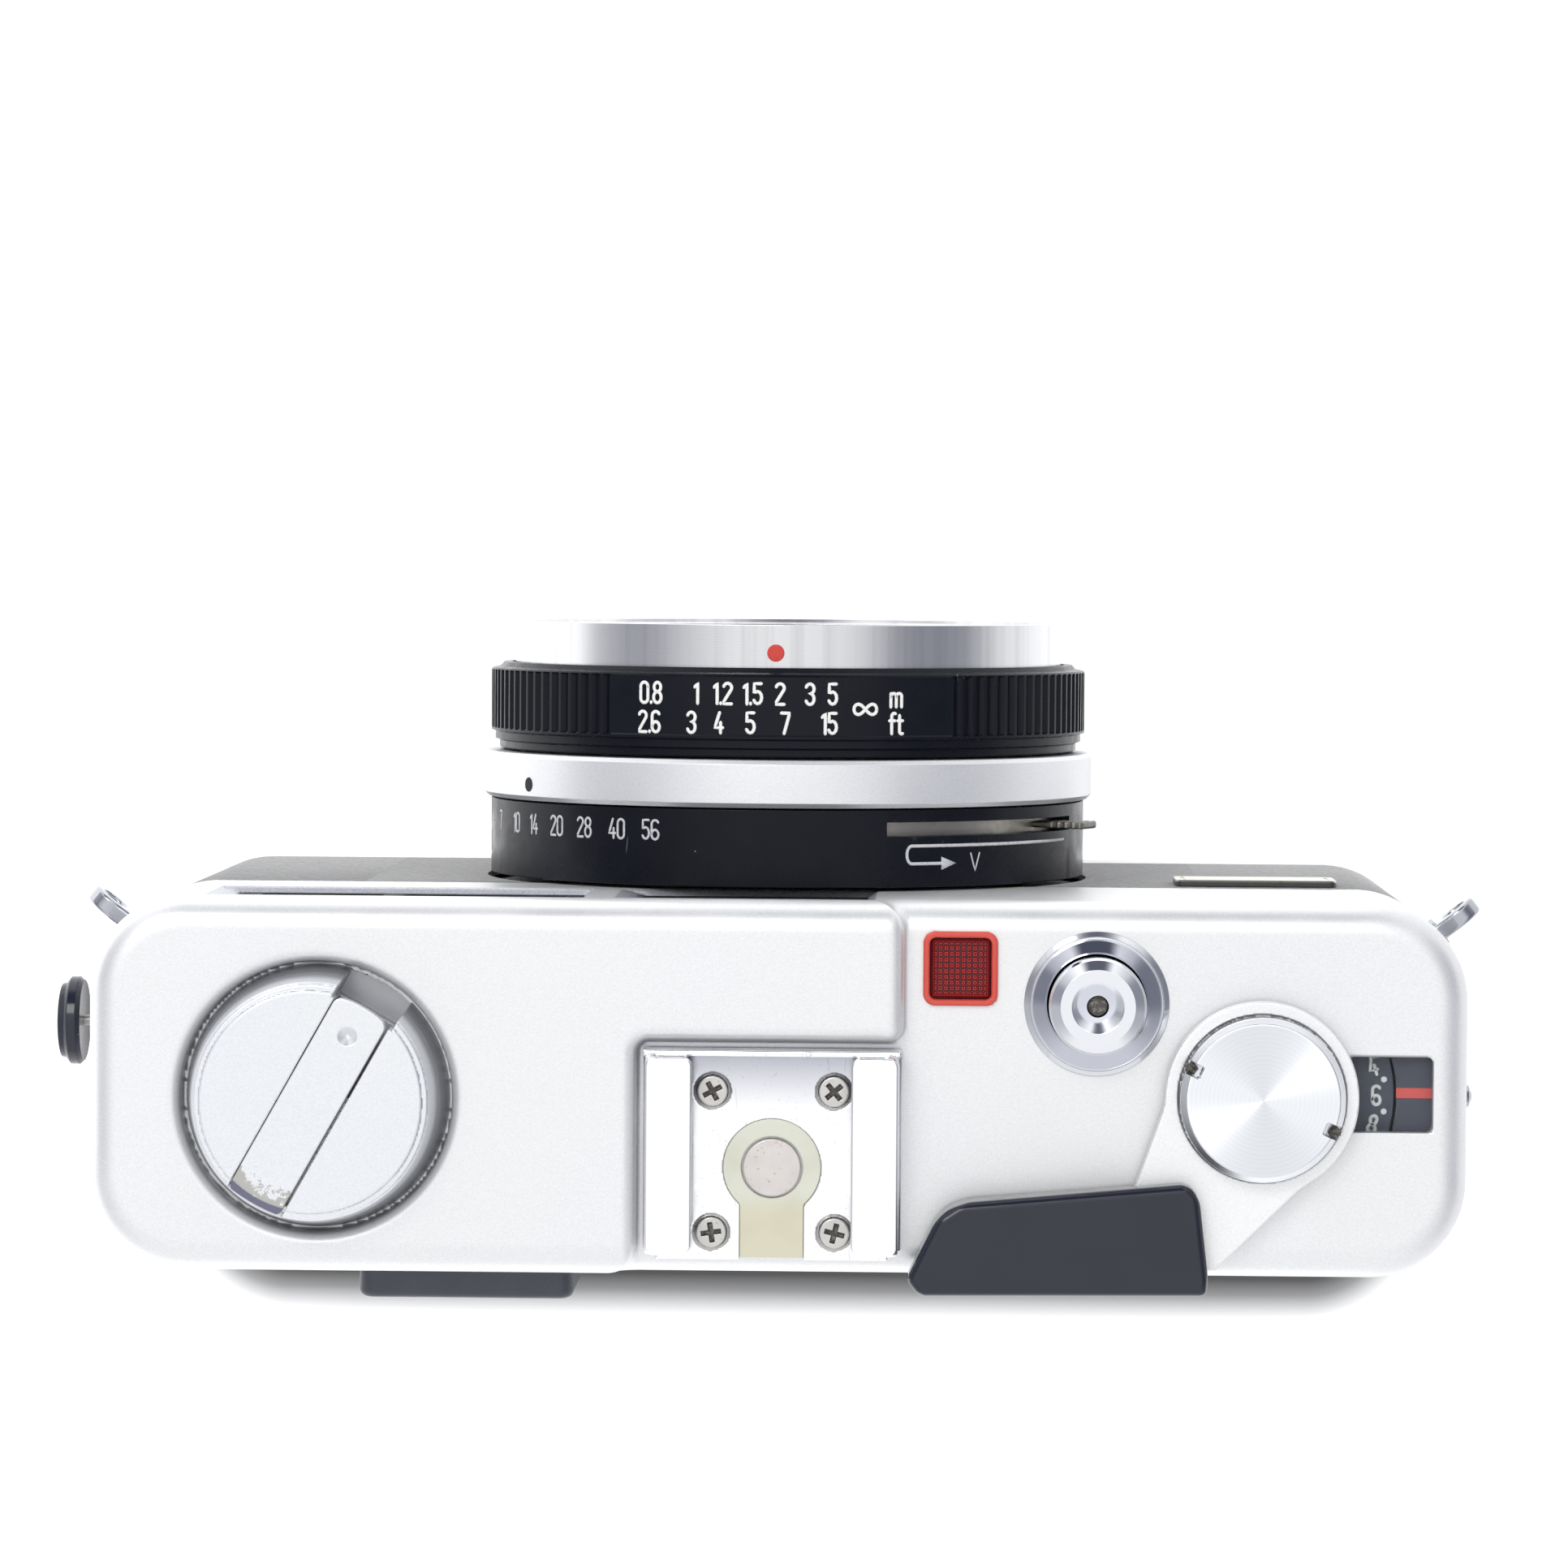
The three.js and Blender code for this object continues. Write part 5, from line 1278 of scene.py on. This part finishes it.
def make_rewind():
    def knob(x, y, z):
        s, t = crank_frame(x, y)
        r = hypot(x - REWIND[0], y - REWIND[1])
        body = corner(r - 9.05, z - KNOB_TOP, 0.16)
        step = corner(r - 9.5, z - (KNOB_TOP - 0.3), 0.12)
        cone = corner((r - 10.25 + (z - 69.9) * 0.2) * 0.98, z - (KNOB_TOP - 0.55), 0.15)
        lower = corner(r - 10.25, z - 70.1, 0.15)
        body = minimum(minimum(body, step), minimum(cone, lower))
        body = corner(body, 66.3 - z, 0.3)
        body = cut(body, maximum(np.abs(t + 0.07) - 2.5, 71.7 - z), 0.06)
        under = maximum(maximum(np.abs(t + 0.07) - 2.5, 68.2 - z), 1.6 - s)
        mouth = maximum(maximum(np.abs(t + 0.1) - 2.8, 8.3 - s), 66.9 - z)
        return cut(cut(body, under, 0.06), mouth, 0.1)

    voxel = 0.13
    low = (REWIND[0] - 10.3, REWIND[1] - 10.3, 66.3)
    high = (REWIND[0] + 10.3, REWIND[1] + 10.3, KNOB_TOP)
    add(sculpt("knob_body", knob, low, high, voxel), "knob", "rewind_knob", "rewind_knob")

    def crank(x, y, z):
        s, t = crank_frame(x, y)
        flat = corner(rect(s, t, -9.7, 9.35, -2.38, 2.38),
            hypot(s, t) - np.where(s > 0, 8.85, 9.75), 0.6)
        sunk = maximum(hypot(s, t) - 8.95, 0) * (s < 0)
        blade = slab(flat, z + 0.9 * sunk, 72.05, KNOB_TOP - 0.03, 0.12, 0.1)
        blade = maximum(blade, 71.9 - z)
        grip = slab(hypot(s - 6.4, t) - 1.9, z, 68.9, 72.3, 0.1, 0.4)
        cone = hypot(s - 6.15, t) - 0.82 - (z - KNOB_TOP) * 1.1
        dimple = maximum(cone, KNOB_TOP - 0.6 - z)
        return cut(join(blade, grip, 0.2), dimple, 0.05)

    add(sculpt("crank_blade", crank, low, high, 0.11), "crank",
        "rewind_crank", "rewind_crank")


# ---- Lens ----
def lens_ring(name, corners, radius=0.1, segments=256, solid=False):
    return lathe(name, LENS_CENTER, "Y", corners, radius, segments, solid)


def lens_path(angles):
    """Stations round the lens at these angles from straight up."""
    outward = np.stack((-np.sin(angles), 0 * angles, np.cos(angles)), 1)
    return np.tile(LENS_CENTER, (len(angles), 1)), outward, np.array((0, 1.0, 0)), angles


def arc_block(name, a0, a1, r0, r1, y0, y1):
    """A block that follows the lens ring from one angle to another."""
    angles = np.radians(np.linspace(a0, a1, 40))
    profile = [(r0, y0), (r1, y0), (r1, y1), (r0, y1)]
    return sweep(name, lens_path(angles), profile, [(0, 1)] * 4, closed=False)


def make_lens():
    base = lens_ring("lens_base_blank", [(20.4, -15.7), (26.07, -15.7), (26.07, -22.25),
        (24.5, -22.25), (24.5, -17.2), (20.4, -17.2)])
    add(boolean(base, [arc_block("slot", 20.2, 71, 23.6, 28, -21.2, -20.0)], "lens_base_ring"),
        "enamel", "lens_base")
    add(arc_block("slot_liner", 19.5, 72, 23.9, 24.45, -21.9, -19.4), "liner", slot="steel")

    add(lens_ring("index_band", [(24.25, -22.4), (26.35, -22.4), (26.75, -22.8), (26.75, -26.05),
        (26.4, -26.4), (24.25, -26.4)], 0.12), "index", "index_ring", "index_ring")

    add(lens_ring("front_rim", [(21.7, -23.5), (22.7, -23.5), (22.7, -28.9), (24.0, -28.9),
        (24.0, -37.7), (23.1, -37.7), (22.95, -37.4), (22.75, -37.2), (23.0, -37.0), (22.75, -36.8),
        (23.0, -36.6), (22.75, -36.4), (23.0, -36.2), (22.75, -36.0), (22.75, -34.0), (11.9, -34.0),
        (11.9, -27.4), (13.2, -27.4), (13.2, -32.4), (21.7, -32.4)], 0.07), "barrel",
        "front_barrel", "front_barrel")
    make_focus_ring()
    make_front_glass()
    make_marks()


def make_focus_ring():
    y_front, y_back = KNURL_Y
    profile = [(24.3, -26.6), (25.25, -26.6), (25.35, -26.7), (25.35, -27.22), (25.5, -27.34),
        (25.75, -27.4), (25.75, -28.0), (25.85, -28.1), (26.1, -28.16), (26.1, y_back),
        (26.1, y_back - 0.12), (26.1, y_front + 0.12), (26.1, y_front), (26.0, -33.6),
        (25.3, -33.75), (25.0, -34.1), (24.3, -34.1)]
    ribs = round(360 / KNURL_PITCH)
    angles = np.array([math.radians((i + offset) * 360 / ribs) for i in range(ribs)
        for offset in (-0.36, -0.12, 0.12, 0.36)])

    def reshape(d, h, angle):
        a = (math.degrees(angle) + 180) % 360 - 180
        rib = (math.degrees(angle) * ribs / 360 + 0.5) % 1 - 0.5
        groove = abs(rib) > 0.24 and abs(a) > KNURL_FREE
        inside = y_front + 0.05 < h < y_back - 0.05
        plain = abs(a) < KNURL_FREE and y_front - 0.05 < h < y_back + 0.05
        return d - 0.42 if groove and inside else d - 0.1 if plain and inside else d

    add(sweep("focus_grip", lens_path(angles), profile, [(1, 0)] * len(profile), reshape=reshape),
        "enamel", "focus_ring", "focus_ring")


def make_front_glass():
    ring = lens_ring("name_blank", [(12.3, -34.05), (22.6, -34.05), (22.6, -34.8), (21.9, -34.95),
        (21.6, -34.75), (14.6, -34.75), (14.2, -34.95), (13.4, -34.95), (13.1, -34.7),
        (12.7, -34.7), (12.3, -34.6)], 0.05)
    hole = lathe("hole", (LENS_X, 0, LENS_Z + 18), "Y",
        [(0, -37), (2.2, -37), (2.2, -33), (0, -33)], 0.01, 48)
    add(boolean(ring, [hole], "name_band"), "enamel", "name_ring", "front_barrel")
    dome = [(0, -30.9), (11.55, -30.9), (11.6, -33.5)]
    for q in np.linspace(11.2, 0, 12):
        dome.append((q, -33.62 - 1.72 * (1 - (q / 11.6) ** 2)))
    add(lens_ring("front_element", dome, 0.05, 128, solid=True), "lens_glass", "front_lens",
        "front_barrel")
    rear = [(0, -27.7), (11.6, -27.7), (11.6, -28.6)]
    for q in np.linspace(11.0, 0, 8):
        rear.append((q, -28.65 - 1.05 * (1 - (q / 11.6) ** 2)))
    add(lens_ring("rear_element", rear, 0.05, 96, solid=True), "lens_glass", "rear_lens",
        "front_barrel")
    cell = [(0, -34.3), (2.0, -34.3), (2.0, -35.0), (1.7, -35.2), (0, -35.3)]
    add(lathe("cell_window", (LENS_X, 0, LENS_Z + 18), "Y", cell, 0.06, 64), "cell", "light_cell",
        "front_barrel")

    def tab(x, y, z):
        dx, dz = x - LENS_X, z - LENS_Z
        r = hypot(dx, dz)
        a = np.degrees(np.arctan2(-dx, dz))
        arc = np.abs(a - 64.6) * r * math.pi / 180
        blade = slab(corner(maximum(23.4 - r, r - 29.2), arc - 1.4 - 0.06 * (r - 24), 0.5), y,
            -20.85, -20.3, 0.15, 0.15)
        ribs = 0.05 * np.sin((r - 26) * 9) * (r > 26.2)
        return blade - maximum(ribs, 0)

    low, high = (LENS_X - 29.3, -20.95, LENS_Z + 7.5), (LENS_X - 18.0, -20.2, LENS_Z + 16.5)
    add(sculpt("timer_tab", tab, low, high, 0.12), "dull", "self_timer_lever", "self_timer_lever",
        "steel")


# ---- Numerals, drawn as round strokes one unit high ----
def arc(cx, cy, rx, ry, start, end, steps=10):
    angles = np.radians(np.linspace(start, end, steps))
    return [(cx + rx * math.cos(a), cy + ry * math.sin(a)) for a in angles]


W = 0.40
TOP, LOW = (W / 2, 1 - 0.21, W / 2, 0.21), (W / 2, 0.21, W / 2, 0.21)
GLYPHS = {
    "0": [arc(*TOP, 0, 180) + arc(*LOW, 180, 360) + [(W, 0.79)]],
    "1": [[(0.02, 0.80), (0.17, 1.0), (0.17, 0.0)]],
    "2": [arc(*TOP, 165, -20) + [(0.02, 0.12), (0, 0), (W, 0)]],
    "3": [arc(W / 2, 0.76, W / 2, 0.24, 160, -65) + [(0.16, 0.54)]
          + arc(W / 2, 0.27, W / 2, 0.27, 65, -160)],
    "4": [[(0.24, 1.0), (0.0, 0.26), (W, 0.26)], [(0.29, 0.52), (0.29, 0.0)]],
    "5": [[(W - 0.02, 1.0), (0.04, 1.0), (0.03, 0.56)] + arc(W / 2, 0.32, W / 2, 0.30, 120, -155)],
    "6": [arc(W / 2, 0.79, W / 2, 0.21, 25, 180) + arc(W / 2, 0.25, W / 2, 0.25, 180, 530, 18)],
    "7": [[(0, 1.0), (W, 1.0), (W - 0.02, 0.9), (0.14, 0.0)]],
    "8": [arc(W / 2, 0.77, 0.18, 0.23, -90, 270, 18), arc(W / 2, 0.27, 0.205, 0.27, 90, 450, 18)],
    "9": [arc(W / 2, 0.75, W / 2, 0.25, 0, 350, 18) + arc(W / 2, 0.21, W / 2, 0.21, 360, 205)],
    ".": [[(0.03, 0.0), (0.03, 0.05)]],
    "-": [[(0, 0.45), (0.2, 0.45)]],
    "m": [[(0, 0), (0, 0.66)], [(0, 0.5)] + arc(0.14, 0.54, 0.14, 0.12, 170, 0) + [(0.28, 0)],
          [(0.28, 0.5)] + arc(0.42, 0.54, 0.14, 0.12, 170, 0) + [(0.56, 0)]],
    "f": [arc(0.25, 0.86, 0.13, 0.14, 60, 180) + [(0.12, 0)], [(0, 0.64), (0.28, 0.64)]],
    "t": [[(0.1, 0.9), (0.1, 0.12)] + arc(0.21, 0.12, 0.11, 0.12, 180, 300),
          [(0, 0.64), (0.26, 0.64)]],
    "8-": [[(0.54 + 0.58 * math.cos(t) / (1 + 0.7 * math.sin(t) ** 2),
             0.5 + 0.66 * math.sin(t) * math.cos(t) / (1 + 0.7 * math.sin(t) ** 2))
            for t in np.linspace(0, 2 * math.pi, 41)]],
    "v": [[(0, 1.0), (0.32, 0.0), (0.64, 1.0)]],
}
WIDTHS = {"1": 0.17, ".": 0.02, "-": 0.2, "m": 0.56, "f": 0.28, "t": 0.27, "8-": 1.08, "v": 0.64}
LETTER_GAP = 0.15


def text_strokes(text, height):
    """The strokes of a line of characters, centred, in mm."""
    characters = [text] if text in GLYPHS else list(text)
    widths = [WIDTHS.get(c, W) for c in characters]
    total = sum(widths) + LETTER_GAP * (len(widths) - 1)
    strokes, x = [], -total / 2
    for character, width in zip(characters, widths):
        for stroke in GLYPHS[character]:
            strokes.append([((px + x) * height, (py - 0.5) * height) for px, py in stroke])
        x += width + LETTER_GAP
    return strokes


def strokes_mesh(name, strokes, half_width, sides=6):
    """Raised paint lines: each stroke is 3-D points with the surface's outward direction."""
    points, faces, caps = [], [], []
    for stroke in strokes:
        places = np.array([p for p, _ in stroke], float)
        ups = np.array([n for _, n in stroke], float)
        heading = np.gradient(places, axis=0)
        heading[0], heading[-1] = places[1] - places[0], places[-1] - places[-2]
        heading /= maximum(np.linalg.norm(heading, axis=1, keepdims=True), 1e-9)
        ends = (places[0] - heading[0] * half_width * 0.8,
            places[-1] + heading[-1] * half_width * 0.8)
        places = np.vstack((ends[0], places, ends[1]))
        ups = np.vstack((ups[0], ups, ups[-1]))
        heading = np.vstack((heading[0], heading, heading[-1]))
        widths = np.full(len(places), half_width)
        widths[[0, -1]] = half_width * 0.45
        across = np.cross(ups, heading)
        first = len(points)
        for place, up, side, width in zip(places, ups, across, widths):
            for k in range(sides):
                a = 2 * math.pi * k / sides
                points.append(place + side * width * math.cos(a) + up * 0.035 * math.sin(a))
        for i in range(len(places) - 1):
            for k in range(sides):
                a, b = first + i * sides + k, first + i * sides + (k + 1) % sides
                faces.append((a, b, b + sides, a + sides))
        caps.append([first + k for k in range(sides)][::-1])
        caps.append([first + (len(places) - 1) * sides + k for k in range(sides)])
    return mesh_of(name, points, [faces, caps])


def flat_text(text, cx, cy, z, height, turn=0.0):
    """Strokes lying on the deck, upright from above."""
    c, s = math.cos(turn), math.sin(turn)
    strokes = []
    for stroke in text_strokes(text, height):
        strokes.append([((cx - u * c + v * s, cy - u * s - v * c, z + 0.02), (0, 0, 1))
            for u, v in stroke])
    return strokes


def ring_text(text, angle, y, radius, height):
    """Strokes wrapped round the lens, upright from above."""
    strokes = []
    for stroke in text_strokes(text, height):
        line = []
        for u, v in refine(stroke):
            a = math.radians(angle) + u / radius
            n = (-math.sin(a), 0, math.cos(a))
            line.append(((LENS_X + n[0] * radius, y - v, LENS_Z + n[2] * radius), n))
        strokes.append(line)
    return strokes


def refine(stroke, longest=0.4):
    out = [stroke[0]]
    for (u0, v0), (u1, v1) in zip(stroke, stroke[1:]):
        parts = max(1, math.ceil(math.hypot(u1 - u0, v1 - v0) / longest))
        out += [(u0 + (u1 - u0) * k / parts, v0 + (v1 - v0) * k / parts)
            for k in range(1, parts + 1)]
    return out


METRES = (("0.8", -24.9), ("1", -15.8), ("1.2", -10.7), ("1.5", -5.1), ("2", 0.0), ("3", 5.5),
    ("5", 9.7))
FEET = (("2.6", -25.2), ("3", -16.7), ("4", -11.4), ("5", -5.5), ("7", 1.0), ("15", 9.1))
GUIDE = (("-", -78), ("7", -70.9), ("10", -62), ("14", -55), ("20", -47.5), ("28", -39.9),
    ("40", -32.1), ("56", -24.75))


def make_marks():
    ring_r = 26.0
    lines = []
    for text, angle in METRES:
        lines += ring_text(text, angle, -31.95, ring_r, 1.72)
    for text, angle in FEET:
        lines += ring_text(text, angle, -29.5, ring_r, 1.72)
    lines += ring_text("8-", 15.9, -30.7, ring_r, 1.7)
    lines += ring_text("m", 21.9, -31.75, ring_r, 1.72)
    lines += ring_text("ft", 21.9, -29.5, ring_r, 1.72)
    add(strokes_mesh("distance_scale", lines, 0.15), "white_paint", slot="black_metal",
        body="focus_ring")
    lines = []
    for text, angle in GUIDE:
        lines += ring_text(text, angle, -20.4, 26.07, 1.62)
    add(strokes_mesh("guide_scale", lines, 0.115), "grey_paint", slot="black_metal")
    add(strokes_mesh("timer_letter", ring_text("v", 39.1, -17.75, 26.07, 1.5), 0.075), "grey_paint",
        slot="black_metal")
    add(strokes_mesh("timer_line", [arrow_line()], 0.14), "grey_paint", slot="black_metal")
    add(arrow_head(), "grey_paint", slot="black_metal")
    add(surface_dot("focus_dot", -1.05, -35.34, 24.0, 0.73, 0.73), "red_paint", slot="red_plastic",
        body="front_barrel")
    add(surface_dot("guide_dot", -54.4, -23.8, 26.75, 0.58, 0.62), "enamel", slot="black_metal",
        body="index_ring")


def on_base(angle, y, lift=0.0):
    a = math.radians(angle)
    n = (-math.sin(a), 0, math.cos(a))
    r = 26.07 + lift
    return (LENS_X + n[0] * r, y, LENS_Z + n[2] * r), n


def arrow_line():
    out = [on_base(a, -19.2) for a in np.linspace(67.8, 25.2, 30)]
    out += [on_base(25.2 - math.sin(t), -18.45 - 0.75 * math.cos(t))
        for t in np.linspace(0.3, math.pi - 0.3, 8)]
    return out + [on_base(a, -17.7) for a in np.linspace(25.2, 32.2, 8)]


def arrow_head():
    points = []
    for lift in (-0.03, 0.035):
        points += [on_base(31.4, -18.25, lift)[0], on_base(34.6, -17.7, lift)[0],
            on_base(31.4, -17.15, lift)[0]]
    return mesh_of("timer_arrow", points, [[(0, 1, 2), (3, 5, 4)],
        [(0, 3, 4, 1), (1, 4, 5, 2), (2, 5, 3, 0)]])


def surface_dot(name, angle, y, radius, half_wide, half_long):
    """A low painted dot on a lens ring."""
    def field(x, yy, z):
        dx, dz = x - LENS_X, z - LENS_Z
        r = hypot(dx, dz)
        across = (np.arctan2(-dx, dz) - math.radians(angle)) * radius
        oval = (hypot(across / half_wide, (yy - y) / half_long) - 1) * min(half_wide, half_long)
        return corner(oval, np.abs(r - radius) - 0.04, 0.03)

    a = math.radians(angle)
    cx, cz = LENS_X - math.sin(a) * radius, LENS_Z + math.cos(a) * radius
    low = (cx - half_wide, y - half_long, cz - half_wide)
    high = (cx + half_wide, y + half_long, cz + half_wide)
    return sculpt(name, field, low, high, 0.035)


# ---- Small fittings ----
def make_fittings():
    center = (0, *SYNC)
    plug = [(0, 58.4), (3.35, 58.4), (3.7, 58.75), (3.7, 59.45), (3.45, 59.7), (3.2, 59.75),
        (3.1, 60.25), (2.5, 60.4), (0, 60.4)]
    add(lathe("sync_plug", center, "X", plug, 0.14, 96), "tip", "sync_cap", "sync_cap")
    pin = [(0, 54.2), (0.45, 54.2), (0.45, 58.5), (0, 58.5)]
    add(lathe("sync_pin", center, "X", pin, 0.05, 24), "steel", slot="steel", body="sync_cap")
    tube = [(0.8, 53.6), (2.0, 53.6), (2.0, 56.45), (2.75, 56.52), (2.75, 57.0), (2.2, 57.35),
        (1.5, 57.35), (1.5, 55.6), (0.8, 55.6)]
    add(lathe("sync_terminal", center, "X", tube, 0.06, 72, solid=False), "chrome", "sync_socket")
    dome = [(0, -56.2), (0.7, -56.2), (1.25, -56.5), (1.25, -56.85), (0.9, -57.35), (0.35, -57.6),
        (0, -57.62)]
    add(lathe("side_stud", (0, *SIDE_SCREW), "X", dome, 0.1, 48), "lug", "side_screw")
    for side, node in ((1, "strap_lug_left"), (-1, "strap_lug_right")):
        make_lug(side, node)
    make_base_fittings()


def make_lug(side, node):
    angle = math.radians(-39 if side > 0 else 180 + 39)
    cx, cy = side * (HALF_X - CORNER_R), -HALF_Y + CORNER_R
    c, s = math.cos(angle), math.sin(angle)

    def lug(x, y, z):
        out, across = turned(x, y, (cx, cy), angle)
        out, flat = out - 8.15, z - 56
        plate = join(hypot(out - 1.95, flat) - 1.95, rect(out, flat, -0.4, 1.6, -1.5, 1.5, 0.2),
            0.5)
        body = corner(plate, np.abs(across) - 0.72, 0.3)
        foot = corner(hypot(flat, across) - 1.3, np.abs(out + 0.05) - 0.25, 0.12)
        return cut(minimum(body, foot), hypot(out - 2.05, flat) - 1.05, 0.28)

    tip = (cx + 13 * c, cy + 13 * s)
    low = (min(cx + 6 * c, tip[0]) - 1, min(cy + 6 * s, tip[1]) - 1, 53.5)
    high = (max(cx + 6 * c, tip[0]) + 1, max(cy + 6 * s, tip[1]) + 1, 58.5)
    add(sculpt(node + "_eye", lug, low, high, 0.12), "lug", node)


def make_base_fittings():
    thread = [(0, 6.4), (4.4, 6.4), (4.4, 1.3), (5.0, 1.3), (5.0, 0.02), (3.4, 0.02)]
    for k in range(6):
        thread += [(3.17, 0.5 + 0.8 * k), (3.4, 0.9 + 0.8 * k)]
    thread += [(3.17, 5.6), (0, 5.6)]
    add(lathe("tripod_bush", (*TRIPOD, 0), "Z", thread, 0.06, 72), "brass", "tripod_socket")
    bx, by = BATTERY

    def lid(x, y, z):
        body = slab(disc(x, y, BATTERY, 7.0), z, 0.15, 1.5, 0.1, 0.25)
        ring = maximum(np.abs(hypot(x - bx, y - by) - 6.2) - 0.18, z - 0.35)
        slot = maximum(around(x, y, BATTERY, 4.9, 0.75, 0.7), z - 0.95)
        return cut(cut(body, slot, 0.08), ring, 0.04)

    add(sculpt("battery_lid", lid, (bx - 7, by - 7, 0.15), (bx + 7, by + 7, 1.5), 0.14), "knob",
        "battery_cover", "battery_cover")
    button = [(0, 0.35), (0.5, 0.45), (1.3, 0.35), (1.9, 0.35), (1.98, 0.6), (1.98, 7.2), (0, 7.2)]
    add(lathe("rewind_release_pin", (*SPROCKET, 0), "Z", button, 0.08, 48), "steel",
        "rewind_release", "rewind_release")


# ---- CAD nodes that stay as they are, with a finish and softened edges ----
KEPT = {
    "chassis": "cast", "finder_block": "matt_black", "crank_pin": "steel",
    "rewind_shaft": "steel", "door_catch": "steel", "door_hinge_pin": "steel",
    "pressure_plate": "enamel", "take_up_spool": "frame_plastic", "film_sprocket": "enamel",
    "shutter_housing": "matt_black", "shutter_blade_left": "matt_black",
    "shutter_blade_right": "matt_black", "battery": "knob",
}
SOFT_EDGE = {"chassis": 0.25, "door_catch": 0.12, "pressure_plate": 0.15, "finder_block": 0.2}


def dress_kept_nodes():
    for name, finish in KEPT.items():
        node = nodes[name]
        node.data.materials.clear()
        node.data.materials.append(finishes[finish])
        if name in SOFT_EDGE:
            bevel = node.modifiers.new("soft_edge", "BEVEL")
            bevel.width = SOFT_EDGE[name] * MM
            bevel.segments = 2
            bevel.limit_method = "ANGLE"
            bevel.angle_limit = math.radians(40)


make_camera()
make_world()
make_floor()
make_area_light("key", (0.30, -0.62, 0.95), (0, 0, 0.05), 0.5, 3.0)
bpy.context.scene.view_settings.view_transform = "Standard"
finishes = make_finishes()
for make in (make_covers, make_skins, make_badge, make_finder, make_shoe, make_lamp, make_release,
        make_lever, make_counter, make_rewind, make_lens, make_fittings, dress_kept_nodes):
    make()
